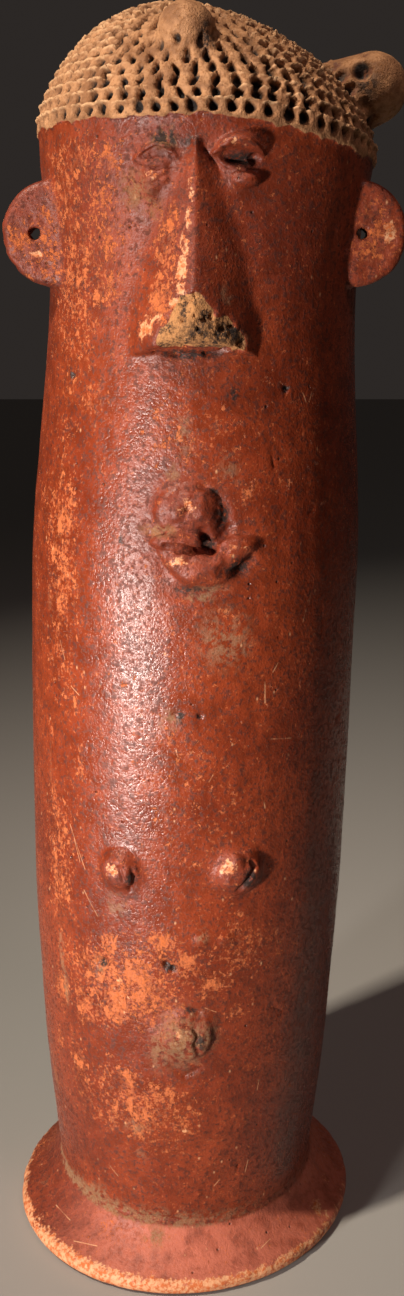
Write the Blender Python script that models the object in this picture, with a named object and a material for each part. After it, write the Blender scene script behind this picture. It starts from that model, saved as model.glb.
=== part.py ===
"""A tall hollow terracotta grave figure: a leaning tube on a flared foot, with a long wedge nose,
rolled eyelids and lips, pierced disc ears and a cap of pricked hair with two knobs.
Metres, +Z up, the face towards -Y, standing on the floor at z = 0."""
import math

import bmesh
import bpy
from mathutils import Matrix, Vector

# The foot
FOOT_RADIUS = 0.0674
FOOT_OVAL = 0.050
FOOT_OVAL_TURN = math.radians(25)
FOOT_RIM = 0.0036
FOOT_HEIGHT = 0.022
FOOT_BEARING = 0.0125
SKIRT_DIP = 0.0014

# The tube: its radius at six heights, and the rise from each to the next
ANKLE_RADIUS = 0.0517
HIP_RADIUS = 0.0572
BELLY_RADIUS = 0.0600
CHEST_RADIUS = 0.0597
CHEEK_RADIUS = 0.0530
BROW_RADIUS = 0.0572
HIP_RISE = 0.068
BELLY_RISE = 0.090
CHEST_RISE = 0.086
CHEEK_RISE = 0.106
BROW_RISE = 0.038
WALL = 0.0085

# The lean of the tube to +X, and the lopsided crown above the hairline
LEAN = 0.0106
LEAN_POWER = 1.6
HAIRLINE_RISE = 0.0045
CROWN_RISE = 0.0405
CROWN_FULLNESS = 1.7
CROWN_SHIFT = 0.013
CROWN_SHIFT_POWER = 1.9

# The cap of hair
HAIRLINE_DIP = 0.0100
HAIR_PROUD = 0.0006
HAIR_ROW = 0.0050
HAIR_STITCH = 0.0058
HAIR_DEPTH = 0.0017
HAIR_BED = 0.0030
HAIR_ROOT = 0.0022
HAIR_TUCK = 0.03
HAIR_WHORL = 0.006

# The knobs of hair, each turned from the face towards +X. Insets run in from the brow's radius
# and rises run up from the hairline.
FRONT_KNOB_TURN = math.radians(-9.5)
FRONT_KNOB_BASE_INSET = 0.0195
FRONT_KNOB_BASE_RISE = 0.0145
FRONT_KNOB_TIP_INSET = 0.0158
FRONT_KNOB_TIP_RISE = 0.0250
FRONT_KNOB_RADIUS = 0.0148
FRONT_KNOB_TIP_RADIUS = 0.0086
FRONT_KNOB_ROOT = 0.0110
SIDE_KNOB_TURN = math.radians(84.5)
SIDE_KNOB_BASE_INSET = 0.0170
SIDE_KNOB_BASE_RISE = 0.0092
SIDE_KNOB_TIP_INSET = 0.0022
SIDE_KNOB_TIP_RISE = 0.0146
SIDE_KNOB_RADIUS = 0.0128
SIDE_KNOB_TIP_RADIUS = 0.0110
SIDE_KNOB_ROOT = 0.0070
SIDE_KNOB_PIT_TURN = math.radians(69.7)
SIDE_KNOB_PIT_INSET = 0.0082
SIDE_KNOB_PIT_RISE = 0.0190
SIDE_KNOB_PIT_RADIUS = 0.0030

# The ears, whose middles lie on the tube's surface
EAR_RADIUS = 0.0168
EAR_THICKNESS = 0.0105
EAR_DROP = 0.0275
EAR_ROUND = math.radians(67.6)
EAR_TURN = math.radians(5)
EAR_SQUARENESS = 3.2
EAR_HOLE_RADIUS = 0.00185
EAR_HOLE_OVERCUT = 0.0026
EAR_HOLE_SQUARENESS = 40
LEFT_EAR_HOLE_REACH = 0.0062
RIGHT_EAR_HOLE_REACH = 0.0024

# The nose
NOSE_FOOT_SIDE = -0.0022
NOSE_TOP_SIDE = -0.0037
NOSE_TOP_DROP = 0.0020
NOSE_LENGTH = 0.0590
NOSE_SLOPE = 0.0055
NOSE_WIDTH = 0.0440
NOSE_REACH = 0.0155
NOSE_TOP_WIDTH = 0.0050
NOSE_TOP_REACH = 0.0035
NOSE_TIP_WEAR = 0.0040
NOSE_WORN_SHARE = 0.2
NOSE_SPREAD = 1.9
NOSE_RIDGE = 1.25
NOSE_SUNK = 0.0015
NOSE_ROOT = 0.0045
NOSE_BACK = 0.25
NOSTRIL_APART = 0.0145
NOSTRIL_LENGTH = 0.0052
NOSTRIL_WIDTH = 0.0020
NOSTRIL_REACH = 0.0070

# The eyes. Drops run down from the brow.
LEFT_EYE_SIDE = -0.0150
LEFT_EYE_DROP = 0.0095
RIGHT_EYE_SIDE = 0.0092
RIGHT_EYE_DROP = 0.0080
EYE_WIDTH = 0.0115
EYEBALL_WIDTH = 0.0096
EYEBALL_TALL = 0.0068
EYEBALL_PROUD = 0.0012
UPPER_LID_RISE = 0.0011
UPPER_LID_ARCH = 0.0043
LOWER_LID_DROP = 0.0019
LOWER_LID_SAG = 0.0029
LEFT_LID = 0.0012
LEFT_LID_PROUD = 0.0020
RIGHT_LID = 0.0021
RIGHT_LID_PROUD = 0.0044
LOWER_LID = 0.0015
LOWER_LID_PROUD = 0.0022

# The mouth
MOUTH_SIDE = 0.0027
MOUTH_DROP = 0.1247
MOUTH_WIDTH = 0.0320
LOWER_LIP = 0.0060
LOWER_LIP_PROUD = 0.0048
LOWER_LIP_SAG = 0.0085
UPPER_LIP_SIDE = -0.0022
UPPER_LIP_RISE = 0.0090
UPPER_LIP_WIDTH = 0.0225
UPPER_LIP_TALL = 0.0185
UPPER_LIP_PROUD = 0.0042

# The breasts and the navel. Drops run down from the belly's widest height.
BREAST_DROP = 0.0095
LEFT_BREAST_SIDE = -0.0235
LEFT_BREAST_RADIUS = 0.0056
RIGHT_BREAST_SIDE = 0.0175
RIGHT_BREAST_RADIUS = 0.0068
BREAST_PROUD = 0.0042
NAVEL_SIDE = 0.0007
NAVEL_DROP = 0.0740
NAVEL_RADIUS = 0.0074
NAVEL_PROUD = 0.0036

# How bluntly a roll of clay ends, and the angle above which an edge shades sharp
ROLL_BLUNTNESS = 0.6
SHARP_ANGLE = math.radians(40)

# How finely each form is faceted
RIM_TURNS = (-90, -50, -10, 30, 60)
SKIRT_SHARES = (0.3, 0.65)
KNOB_END_TURNS = (0, 25, 50, 72)
NOSE_STEPS = 8
TUBE_SIDES = 48
TUBE_STEPS = 17
INNER_SIDES = 24
INNER_STEPS = 9
CROWN_STEPS = 4
ROLL_SIDES = 8
LUMP_SIDES = 12
KNOB_SIDES = 16
EAR_SIDES = 18

# Heights above the floor that follow from the sizes above
HIP_HEIGHT = FOOT_HEIGHT + HIP_RISE
BELLY_HEIGHT = HIP_HEIGHT + BELLY_RISE
CHEST_HEIGHT = BELLY_HEIGHT + CHEST_RISE
CHEEK_HEIGHT = CHEST_HEIGHT + CHEEK_RISE
BROW_HEIGHT = CHEEK_HEIGHT + BROW_RISE
HAIRLINE_HEIGHT = BROW_HEIGHT + HAIRLINE_RISE
CROWN_HEIGHT = HAIRLINE_HEIGHT + CROWN_RISE
NOSE_TOP = BROW_HEIGHT - NOSE_TOP_DROP
NOSE_LEDGE = NOSE_TOP - NOSE_LENGTH
MOUTH_HEIGHT = BROW_HEIGHT - MOUTH_DROP

TERRACOTTA = (0.300, 0.072, 0.032, 1.0)


def smooth_through(points, at):
    """The height of a smooth curve through the points that makes no bump between them."""
    slopes = [(b[1] - a[1]) / (b[0] - a[0]) for a, b in zip(points, points[1:])]
    turns = [slopes[0]]
    for before, after in zip(slopes, slopes[1:]):
        same_way = before * after > 0
        turns.append(2 * before * after / (before + after) if same_way else 0.0)
    turns.append(slopes[-1])
    at = min(max(at, points[0][0]), points[-1][0])
    spot = max(i for i in range(len(slopes)) if points[i][0] <= at)
    (x0, y0), (x1, y1) = points[spot], points[spot + 1]
    step = x1 - x0
    s = (at - x0) / step
    start = (1 + 2 * s) * (1 - s) ** 2 * y0 + s * (1 - s) ** 2 * step * turns[spot]
    end = s * s * (3 - 2 * s) * y1 + s * s * (s - 1) * step * turns[spot + 1]
    return start + end


TUBE_RADII = (
    (FOOT_HEIGHT, ANKLE_RADIUS),
    (HIP_HEIGHT, HIP_RADIUS),
    (BELLY_HEIGHT, BELLY_RADIUS),
    (CHEST_HEIGHT, CHEST_RADIUS),
    (CHEEK_HEIGHT, CHEEK_RADIUS),
    (BROW_HEIGHT, BROW_RADIUS),
)


def tube_radius(height):
    return smooth_through(TUBE_RADII, height)


def lean(height):
    """How far the tube's middle stands to +X of the foot's middle."""
    return LEAN * (max(height, 0.0) / CROWN_HEIGHT) ** LEAN_POWER


def circle(radius, height, sides, oval=0.0):
    """A level ring of evenly spaced corners, and the share of a turn at which it starts."""
    middle = lean(height)
    corners = []
    for k in range(sides):
        angle = 2 * math.pi * k / sides
        reach = radius * (1 + oval / 2 * math.cos(2 * (angle - FOOT_OVAL_TURN)))
        corners.append(Vector((middle + reach * math.cos(angle), reach * math.sin(angle), height)))
    return corners, 0


def crown_point(rise, angle, inset):
    """A point of the crown. Rise runs from 0 at the hairline to 1 at the top, in a quarter turn."""
    quarter = rise * math.pi / 2
    foot = HAIRLINE_HEIGHT - HAIRLINE_DIP * max(0.0, math.cos(angle)) ** 2
    share_up = math.sin(quarter) ** (2 / CROWN_FULLNESS)
    share_out = math.cos(quarter) ** (2 / CROWN_FULLNESS) if rise < 1 else 0.0
    height = foot + (CROWN_HEIGHT - inset - foot) * share_up
    radius = (BROW_RADIUS + HAIR_PROUD - inset) * share_out
    middle = lean(height) - CROWN_SHIFT * share_up ** CROWN_SHIFT_POWER
    return Vector((middle + radius * math.cos(angle), radius * math.sin(angle), height))


def crown_ring(rise, inset, sides, turn=0.0):
    angles = [2 * math.pi * (turn + k / sides) for k in range(sides)]
    return [crown_point(rise, angle, inset) for angle in angles], turn


def stitch(mesh, first, second):
    """Fills the band between two rings of corners with triangles. The counts may differ."""
    (low, low_turn), (high, high_turn) = first, second
    if len(low) == 1:
        for j in range(len(high)):
            mesh.faces.new((low[0], high[(j + 1) % len(high)], high[j]))
        return
    if len(high) == 1:
        for i in range(len(low)):
            mesh.faces.new((low[i], low[(i + 1) % len(low)], high[0]))
        return
    i = j = 0
    while i < len(low) or j < len(high):
        next_low = low_turn + (i + 1) / len(low)
        next_high = high_turn + (j + 1) / len(high)
        a, b = low[i % len(low)], high[j % len(high)]
        if j == len(high) or (i < len(low) and next_low <= next_high + 1e-9):
            i += 1
            mesh.faces.new((a, low[i % len(low)], b))
        else:
            j += 1
            mesh.faces.new((a, high[j % len(high)], b))


def skin(name, rings):
    """A closed body over a chain of rings. A ring of one corner is a pole that closes an end."""
    mesh = bmesh.new()
    made = [([mesh.verts.new(corner) for corner in corners], turn) for corners, turn in rings]
    for first, second in zip(made, made[1:]):
        stitch(mesh, first, second)
    data = bpy.data.meshes.new(name)
    mesh.to_mesh(data)
    mesh.free()
    data.shade_smooth()
    data.set_sharp_from_angle(angle=SHARP_ANGLE)
    thing = bpy.data.objects.new(name, data)
    bpy.context.scene.collection.objects.link(thing)
    return thing


def on_tube(side, height, lift=0.0):
    """The point on the front of the tube at a distance to +X of its middle, and the way out."""
    radius = tube_radius(height)
    angle = math.asin(side / radius)
    out = Vector((math.sin(angle), -math.cos(angle), 0.0))
    return Vector((lean(height), 0.0, height)) + out * (radius + lift), out


def foot_rings():
    """The foot from the outer edge of the flat that it stands on, up to the crease of the tube."""
    edge = FOOT_RADIUS - FOOT_RIM
    outline = []
    for turn in RIM_TURNS:
        angle = math.radians(turn)
        outline.append((edge + FOOT_RIM * math.cos(angle), FOOT_RIM * (1 + math.sin(angle))))
    start = Vector(outline[-1])
    crease = Vector((ANKLE_RADIUS, FOOT_HEIGHT))
    for share in SKIRT_SHARES:
        point = start.lerp(crease, share)
        dip = SKIRT_DIP * 4 * share * (1 - share)
        outline.append((point.x - dip, point.y - dip))
    return [
        circle(radius, height, TUBE_SIDES, oval=FOOT_OVAL * (1 - height / FOOT_HEIGHT))
        for radius, height in outline
    ]


def tube_body():
    """The tube with its foot and the bed of the hair, before it is hollowed."""
    rings = [([Vector((0, 0, 0))], 0)] + foot_rings()
    top = HAIRLINE_HEIGHT - HAIRLINE_DIP
    for step in range(TUBE_STEPS + 1):
        height = FOOT_HEIGHT + (top - FOOT_HEIGHT) * step / TUBE_STEPS
        rings.append(circle(tube_radius(height), height, TUBE_SIDES))
    rings.append(crown_ring(HAIR_TUCK, HAIR_PROUD, TUBE_SIDES))
    rings.append(crown_ring(2 * HAIR_TUCK, HAIR_BED, TUBE_SIDES))
    for step in range(1, CROWN_STEPS):
        rings.append(crown_ring(step / CROWN_STEPS, HAIR_BED, TUBE_SIDES))
    rings.append(([crown_point(1, 0, HAIR_BED)], 0))
    return skin("statuette", rings)


def hollow():
    """The space inside, open under the foot, a wall's thickness within the outside."""
    mouth = FOOT_RADIUS - FOOT_RIM - FOOT_BEARING
    bore = ANKLE_RADIUS - WALL
    below = WALL / 2
    flare = (mouth - bore) * below / FOOT_HEIGHT
    rings = [([Vector((0, 0, -below))], 0)]
    rings.append(circle(mouth + flare, -below, INNER_SIDES))
    top = HAIRLINE_HEIGHT - HAIRLINE_DIP - WALL
    for step in range(INNER_STEPS + 1):
        height = FOOT_HEIGHT + (top - FOOT_HEIGHT) * step / INNER_STEPS
        rings.append(circle(tube_radius(height) - WALL, height, INNER_SIDES))
    for step in range(1, CROWN_STEPS):
        rings.append(crown_ring(step / CROWN_STEPS, WALL, INNER_SIDES))
    rings.append(([crown_point(1, 0, WALL)], 0))
    return skin("hollow", rings)


def crown_rise_at(length):
    """The rise at which the back of the crown is a length away from the hairline."""
    steps = 200
    walked, before = 0.0, crown_point(0, math.pi / 2, 0)
    for step in range(1, steps + 1):
        point = crown_point(step / steps, math.pi / 2, 0)
        walked += (point - before).length
        before = point
        if walked >= length:
            return step / steps
    return 1.0


def hair_cap():
    """The cap of hair: rows of pricked pits between low ridges, over a plain bed."""
    rings = [([crown_point(1, 0, HAIR_BED + HAIR_ROOT)], 0)]
    for step in range(CROWN_STEPS - 1, -1, -1):
        rings.append(crown_ring(step / CROWN_STEPS, HAIR_BED + HAIR_ROOT, INNER_SIDES))
    row = 0
    rings.append(crown_ring(0.0, 0.0, TUBE_SIDES))
    while True:
        middle = crown_rise_at((row + 0.5) * HAIR_ROW)
        edge = crown_rise_at((row + 1) * HAIR_ROW)
        around = 2 * math.pi * (crown_point(middle, 0, 0) - crown_point(middle, math.pi, 0)).length / 2
        stitches = round(around / HAIR_STITCH)
        if edge >= 1 or around < 2 * math.pi * HAIR_WHORL:
            break
        turn = (row % 2) / (2 * stitches)
        corners = []
        for k in range(2 * stitches):
            angle = 2 * math.pi * (turn + k / (2 * stitches))
            corners.append(crown_point(middle, angle, HAIR_DEPTH * (k % 2)))
        rings.append((corners, turn))
        rings.append(crown_ring(edge, 0.0, stitches))
        row += 1
    rings.append(([crown_point(1, 0, 0)], 0))
    return skin("hair_cap", rings)


def roll(name, path, half_widths, half_heights, sides=ROLL_SIDES):
    """A roll of clay along a path of points and outward directions, pinched at both ends."""
    spots = [spot for spot, _ in path]
    rings = [([spots[0]], 0)]
    for k in range(1, len(path) - 1):
        spot, out = path[k]
        along = (spots[k + 1] - spots[k - 1]).normalized()
        out = (out - along * out.dot(along)).normalized()
        side = out.cross(along)
        corners = []
        for step in range(sides):
            angle = 2 * math.pi * step / sides
            across = side * half_widths[k] * math.cos(angle)
            corners.append(spot + across + out * half_heights[k] * math.sin(angle))
        rings.append((corners, 0))
    rings.append(([spots[-1]], 0))
    return skin(name, rings)


def arc_roll(name, side, height, width, rise, thick, proud, steps=6):
    """A roll on the tube in an arch of a width and a rise, thickest in its middle."""
    path, widths, heights = [], [], []
    for step in range(steps + 1):
        share = step / steps
        fullness = math.sin(math.pi * share)
        path.append(on_tube(side + width * (share - 0.5), height + rise * fullness))
        widths.append(thick * fullness ** ROLL_BLUNTNESS)
        heights.append(proud * fullness ** ROLL_BLUNTNESS)
    return roll(name, path, widths, heights)


def lump(name, centre, radii, frame, squareness=2.0, sides=LUMP_SIDES, steps=6):
    """A rounded lump about a centre. The frame turns its own axes, and its third one is its pole."""
    rings = []
    for step in range(steps + 1):
        angle = -math.pi / 2 + math.pi * step / steps
        level = math.copysign(abs(math.sin(angle)) ** (2 / squareness), angle)
        reach = abs(math.cos(angle)) ** (2 / squareness) if 0 < step < steps else 0.0
        corners = []
        for k in range(sides if reach else 1):
            turn = 2 * math.pi * k / sides
            across = reach * math.cos(turn) * radii[0]
            upward = reach * math.sin(turn) * radii[1]
            corners.append(centre + frame @ Vector((across, upward, level * radii[2])))
        rings.append((corners, 0))
    return skin(name, rings)


def out_frame(out):
    """Axes whose third one points out of the tube and whose second one points up."""
    up = Vector((0, 0, 1))
    return Matrix((up.cross(out), up, out)).transposed()


def lump_on_tube(name, side, height, width, tall, proud):
    spot, out = on_tube(side, height)
    return lump(name, spot, (width, tall, proud), out_frame(out))


def by_the_hairline(turn, inset, rise):
    """A point inside the crown, in from the brow's radius and up from the hairline."""
    out = Vector((math.sin(turn), -math.cos(turn), 0))
    foot = Vector((lean(HAIRLINE_HEIGHT), 0, HAIRLINE_HEIGHT + rise))
    return foot + out * (BROW_RADIUS - inset)


def knob(name, base, tip, base_radius, tip_radius, root):
    """A blunt horn of hair, whose end is a half round and whose root runs to a point in the head."""
    along = (tip - base).normalized()
    side = along.cross(Vector((0, 1, 0))).normalized()
    other = along.cross(side)
    rings = [([base - along * root], 0)]
    profile = [(base, base_radius), (base.lerp(tip, 0.5), (base_radius + tip_radius) / 2)]
    for turn in KNOB_END_TURNS:
        angle = math.radians(turn)
        profile.append((tip + along * tip_radius * math.sin(angle), tip_radius * math.cos(angle)))
    for spot, radius in profile:
        corners = []
        for k in range(KNOB_SIDES):
            angle = 2 * math.pi * k / KNOB_SIDES
            corners.append(spot + (side * math.cos(angle) + other * math.sin(angle)) * radius)
        rings.append((corners, 0))
    rings.append(([tip + along * tip_radius], 0))
    return skin(name, rings)


def nose():
    """The long wedge of the nose, from its sloping underside up to the point between the eyes."""
    rings = []
    for step in range(NOSE_STEPS + 1):
        share = step / NOSE_STEPS
        height = NOSE_LEDGE + NOSE_LENGTH * share
        width = NOSE_WIDTH * (1 - share ** NOSE_SPREAD) + NOSE_TOP_WIDTH * share
        reach = NOSE_REACH + (NOSE_TOP_REACH - NOSE_REACH) * share
        reach -= NOSE_TIP_WEAR * max(0.0, 1 - share / NOSE_WORN_SHARE) ** 2
        middle = NOSE_FOOT_SIDE + (NOSE_TOP_SIDE - NOSE_FOOT_SIDE) * share
        corners = []
        for k in range(NOSE_STEPS + 1):
            across = 2 * k / NOSE_STEPS - 1
            lift = reach * (1 - abs(across) ** NOSE_RIDGE)
            drop = NOSE_SLOPE * (1 - lift / reach) if step == 0 else 0.0
            spot, _ = on_tube(middle + width / 2 * across, height - drop, -NOSE_SUNK)
            corners.append(spot - Vector((0, lift, 0)))
        for side in (NOSE_BACK, -NOSE_BACK):
            drop = NOSE_SLOPE if step == 0 else 0.0
            spot, _ = on_tube(middle + width * side, height - drop, -NOSE_ROOT)
            corners.append(spot)
        rings.append((corners, 0))
    foot_middle = sum(rings[0][0], Vector()) / len(rings[0][0])
    top_middle = sum(rings[-1][0], Vector()) / len(rings[-1][0])
    return skin("nose", [([foot_middle], 0)] + rings + [([top_middle], 0)])


def nostrils():
    cutters = []
    height = NOSE_LEDGE - NOSE_SLOPE / 2
    for name, way in (("left_nostril", -1), ("right_nostril", 1)):
        spot, _ = on_tube(NOSE_FOOT_SIDE + way * NOSTRIL_APART / 2, height, NOSTRIL_REACH)
        radii = (NOSTRIL_LENGTH / 2, NOSTRIL_WIDTH / 2, NOSTRIL_LENGTH / 2)
        cutters.append(lump(name, spot, radii, Matrix.Identity(3), sides=8, steps=4))
    return cutters


def eye(name, side, drop, lid, lid_proud):
    """An eyeball between an arched upper lid and a flatter lower one."""
    height = BROW_HEIGHT - drop
    ball = lump_on_tube(
        name + "_ball", side, height,
        EYEBALL_WIDTH / 2, EYEBALL_TALL / 2, EYEBALL_PROUD,
    )
    upper = arc_roll(
        name + "_upper_lid", side, height + UPPER_LID_RISE, EYE_WIDTH + 2 * lid,
        UPPER_LID_ARCH, lid, lid_proud,
    )
    lower = arc_roll(
        name + "_lower_lid", side, height - LOWER_LID_DROP, EYE_WIDTH,
        -LOWER_LID_SAG, LOWER_LID, LOWER_LID_PROUD,
    )
    return [ball, upper, lower]


def mouth():
    """A sagging lower lip, and an upper lip heaped up to one side of it."""
    lower = arc_roll(
        "lower_lip", MOUTH_SIDE, MOUTH_HEIGHT, MOUTH_WIDTH,
        -LOWER_LIP_SAG, LOWER_LIP, LOWER_LIP_PROUD, steps=8,
    )
    upper = lump_on_tube(
        "upper_lip", UPPER_LIP_SIDE, MOUTH_HEIGHT + UPPER_LIP_RISE,
        UPPER_LIP_WIDTH / 2, UPPER_LIP_TALL / 2, UPPER_LIP_PROUD,
    )
    return [lower, upper]


def ear_middle(way):
    height = BROW_HEIGHT - EAR_DROP
    out = Vector((way * math.sin(EAR_ROUND), -math.cos(EAR_ROUND), 0))
    return Vector((lean(height), 0, height)) + out * tube_radius(height)


def ear(name, way):
    """An upright disc on the side of the head. It faces the front, turned a little outwards."""
    centre = ear_middle(way)
    facing = Vector((way * math.sin(EAR_TURN), -math.cos(EAR_TURN), 0))
    radii = (EAR_RADIUS, EAR_RADIUS, EAR_THICKNESS / 2)
    return lump(name, centre, radii, out_frame(facing), EAR_SQUARENESS, EAR_SIDES, steps=8)


def ear_hole(name, way, reach):
    """The straight hole through an ear, clear of the side of the head."""
    centre = ear_middle(way) + Vector((way * reach, 0, 0))
    radii = (EAR_HOLE_RADIUS, EAR_HOLE_RADIUS, EAR_THICKNESS / 2 + EAR_HOLE_OVERCUT)
    frame = out_frame(Vector((0, -1, 0)))
    return lump(name, centre, radii, frame, EAR_HOLE_SQUARENESS, sides=10, steps=4)


def combine(body, name, operation, tools):
    """Adds the tools to the body or cuts them from it, and hides them."""
    group = bpy.data.collections.new(name)
    bpy.context.scene.collection.children.link(group)
    for tool in tools:
        bpy.context.scene.collection.objects.unlink(tool)
        group.objects.link(tool)
        tool.hide_render = True
        tool.display_type = "WIRE"
    change = body.modifiers.new(name, "BOOLEAN")
    change.operation = operation
    change.solver = "EXACT"
    change.operand_type = "COLLECTION"
    change.collection = group


def clay():
    material = bpy.data.materials.new("burnished_terracotta")
    material.use_nodes = True
    shader = material.node_tree.nodes["Principled BSDF"]
    shader.inputs["Base Color"].default_value = TERRACOTTA
    shader.inputs["Roughness"].default_value = 0.5
    shader.inputs["Metallic"].default_value = 0.0
    return material


def centre_over_origin(body):
    """Moves everything so that the body's box stands centred over the origin."""
    bpy.context.view_layer.update()
    shape = body.evaluated_get(bpy.context.evaluated_depsgraph_get())
    xs = [corner[0] for corner in shape.bound_box]
    ys = [corner[1] for corner in shape.bound_box]
    shift = Vector((-(min(xs) + max(xs)) / 2, -(min(ys) + max(ys)) / 2, 0))
    for thing in bpy.data.objects:
        thing.location += shift


def main():
    for thing in list(bpy.data.objects):
        bpy.data.objects.remove(thing)
    body = tube_body()
    added = [
        hair_cap(),
        knob(
            "front_knob",
            by_the_hairline(FRONT_KNOB_TURN, FRONT_KNOB_BASE_INSET, FRONT_KNOB_BASE_RISE),
            by_the_hairline(FRONT_KNOB_TURN, FRONT_KNOB_TIP_INSET, FRONT_KNOB_TIP_RISE),
            FRONT_KNOB_RADIUS, FRONT_KNOB_TIP_RADIUS, FRONT_KNOB_ROOT,
        ),
        knob(
            "side_knob",
            by_the_hairline(SIDE_KNOB_TURN, SIDE_KNOB_BASE_INSET, SIDE_KNOB_BASE_RISE),
            by_the_hairline(SIDE_KNOB_TURN, SIDE_KNOB_TIP_INSET, SIDE_KNOB_TIP_RISE),
            SIDE_KNOB_RADIUS, SIDE_KNOB_TIP_RADIUS, SIDE_KNOB_ROOT,
        ),
        nose(),
        ear("left_ear", -1),
        ear("right_ear", 1),
        lump_on_tube(
            "left_breast", LEFT_BREAST_SIDE, BELLY_HEIGHT - BREAST_DROP,
            LEFT_BREAST_RADIUS, LEFT_BREAST_RADIUS, BREAST_PROUD,
        ),
        lump_on_tube(
            "right_breast", RIGHT_BREAST_SIDE, BELLY_HEIGHT - BREAST_DROP,
            RIGHT_BREAST_RADIUS, RIGHT_BREAST_RADIUS, BREAST_PROUD,
        ),
        lump_on_tube(
            "navel", NAVEL_SIDE, BELLY_HEIGHT - NAVEL_DROP,
            NAVEL_RADIUS, NAVEL_RADIUS, NAVEL_PROUD,
        ),
    ]
    added += eye("left_eye", LEFT_EYE_SIDE, LEFT_EYE_DROP, LEFT_LID, LEFT_LID_PROUD)
    added += eye("right_eye", RIGHT_EYE_SIDE, RIGHT_EYE_DROP, RIGHT_LID, RIGHT_LID_PROUD)
    added += mouth()
    pit = by_the_hairline(SIDE_KNOB_PIT_TURN, SIDE_KNOB_PIT_INSET, SIDE_KNOB_PIT_RISE)
    pit_radii = (SIDE_KNOB_PIT_RADIUS, SIDE_KNOB_PIT_RADIUS, SIDE_KNOB_PIT_RADIUS)
    cut = [
        hollow(),
        ear_hole("left_ear_hole", -1, LEFT_EAR_HOLE_REACH),
        ear_hole("right_ear_hole", 1, RIGHT_EAR_HOLE_REACH),
    ]
    cut += nostrils()
    cut.append(lump("side_knob_pit", pit, pit_radii, Matrix.Identity(3), sides=8, steps=4))
    combine(body, "clay_added", "UNION", added)
    combine(body, "clay_cut_away", "DIFFERENCE", cut)
    body.data.materials.append(clay())
    centre_over_origin(body)


main()
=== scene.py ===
# %% [markdown]
# # A fired clay grave figure
# The real object is a hollow tube of coarse clay on a flared foot. Its maker pinched a wedge of a
# nose onto it, laid on rolls of clay for lids and lips, pricked the cap of hair with a stick,
# washed all but the hair with red slip, rubbed the slip to a gloss with a pebble and fired it.
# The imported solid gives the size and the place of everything. This lesson makes the figure again
# with the marks of the hand in it: soft joints, pricked pits, a broken tip of the nose, rubbed slip.

# %% The frame
import math

import bmesh
import bpy
import numpy as np
from mathutils import Matrix, Vector
from mathutils.bvhtree import BVHTree


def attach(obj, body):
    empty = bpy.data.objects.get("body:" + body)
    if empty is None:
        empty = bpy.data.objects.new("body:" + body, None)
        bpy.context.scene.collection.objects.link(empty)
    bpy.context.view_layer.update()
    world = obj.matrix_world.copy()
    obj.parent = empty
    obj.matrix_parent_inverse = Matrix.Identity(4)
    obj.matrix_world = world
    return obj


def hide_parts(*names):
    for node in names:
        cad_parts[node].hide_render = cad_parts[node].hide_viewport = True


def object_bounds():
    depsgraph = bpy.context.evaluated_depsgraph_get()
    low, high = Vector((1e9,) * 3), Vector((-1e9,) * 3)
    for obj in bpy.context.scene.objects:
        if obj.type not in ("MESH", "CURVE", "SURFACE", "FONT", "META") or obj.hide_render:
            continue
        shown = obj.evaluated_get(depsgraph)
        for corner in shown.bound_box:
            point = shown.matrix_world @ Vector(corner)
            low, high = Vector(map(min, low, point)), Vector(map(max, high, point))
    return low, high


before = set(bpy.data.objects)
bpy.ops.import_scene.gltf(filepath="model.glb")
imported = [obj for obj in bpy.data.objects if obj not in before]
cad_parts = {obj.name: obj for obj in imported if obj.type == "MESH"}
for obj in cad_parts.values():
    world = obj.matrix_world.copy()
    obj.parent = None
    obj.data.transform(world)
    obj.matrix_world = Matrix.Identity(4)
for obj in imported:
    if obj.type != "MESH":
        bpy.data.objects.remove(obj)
solid_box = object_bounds()
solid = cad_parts["statuette"]
solid_corners = np.array([corner.co for corner in solid.data.vertices])
foot_corners = solid_corners[solid_corners[:, 2] < 0.006]
FOOT_MIDDLE = (foot_corners[:, 0].min() + foot_corners[:, 0].max()) / 2
print("the foot's middle stands at x", round(FOOT_MIDDLE * 1000, 2), "mm")

# %% [markdown]
# ## The camera
# The photograph was taken from close by, a little above the eyes, so the foot looks much smaller
# than the head. A wide lens near the face gives the same look. The lens is given for the long,
# upright side of the picture, so the sensor is fitted by its height.

# %% The camera
CAMERA_PLACE = Vector((0.0039, -0.4582, 0.3607))
CAMERA_TILT = math.radians(15.33)
PICTURE = (404, 1296)

lens = bpy.data.cameras.new("camera")
lens.sensor_fit = "VERTICAL"
lens.sensor_height = 36
lens.lens = 35
camera = bpy.data.objects.new("camera", lens)
camera.location = CAMERA_PLACE
camera.rotation_euler = (math.pi / 2 - CAMERA_TILT, 0, 0)
bpy.context.scene.collection.objects.link(camera)
bpy.context.scene.camera = camera
print("the camera stands", round(-CAMERA_PLACE.y * 1000), "mm in front of the figure")


def sight(column, row):
    """The way from the camera through a pixel of the picture."""
    focal = lens.lens / lens.sensor_height * PICTURE[1]
    across = (column - PICTURE[0] / 2) / focal
    up = (PICTURE[1] / 2 - row) / focal
    tilt = Matrix.Rotation(-CAMERA_TILT, 3, "X")
    return (tilt @ Vector((across, 1, up))).normalized()


# %% [markdown]
# ## Floor and light
# A steep, small key light from the upper left models the hair and the foot and leaves the right
# side of the tube dark. A low, narrow panel in front to the left is what the burnished slip
# mirrors as a tall streak, and it throws the shadow of the nose. A weak fill keeps the dark side
# readable.

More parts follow.
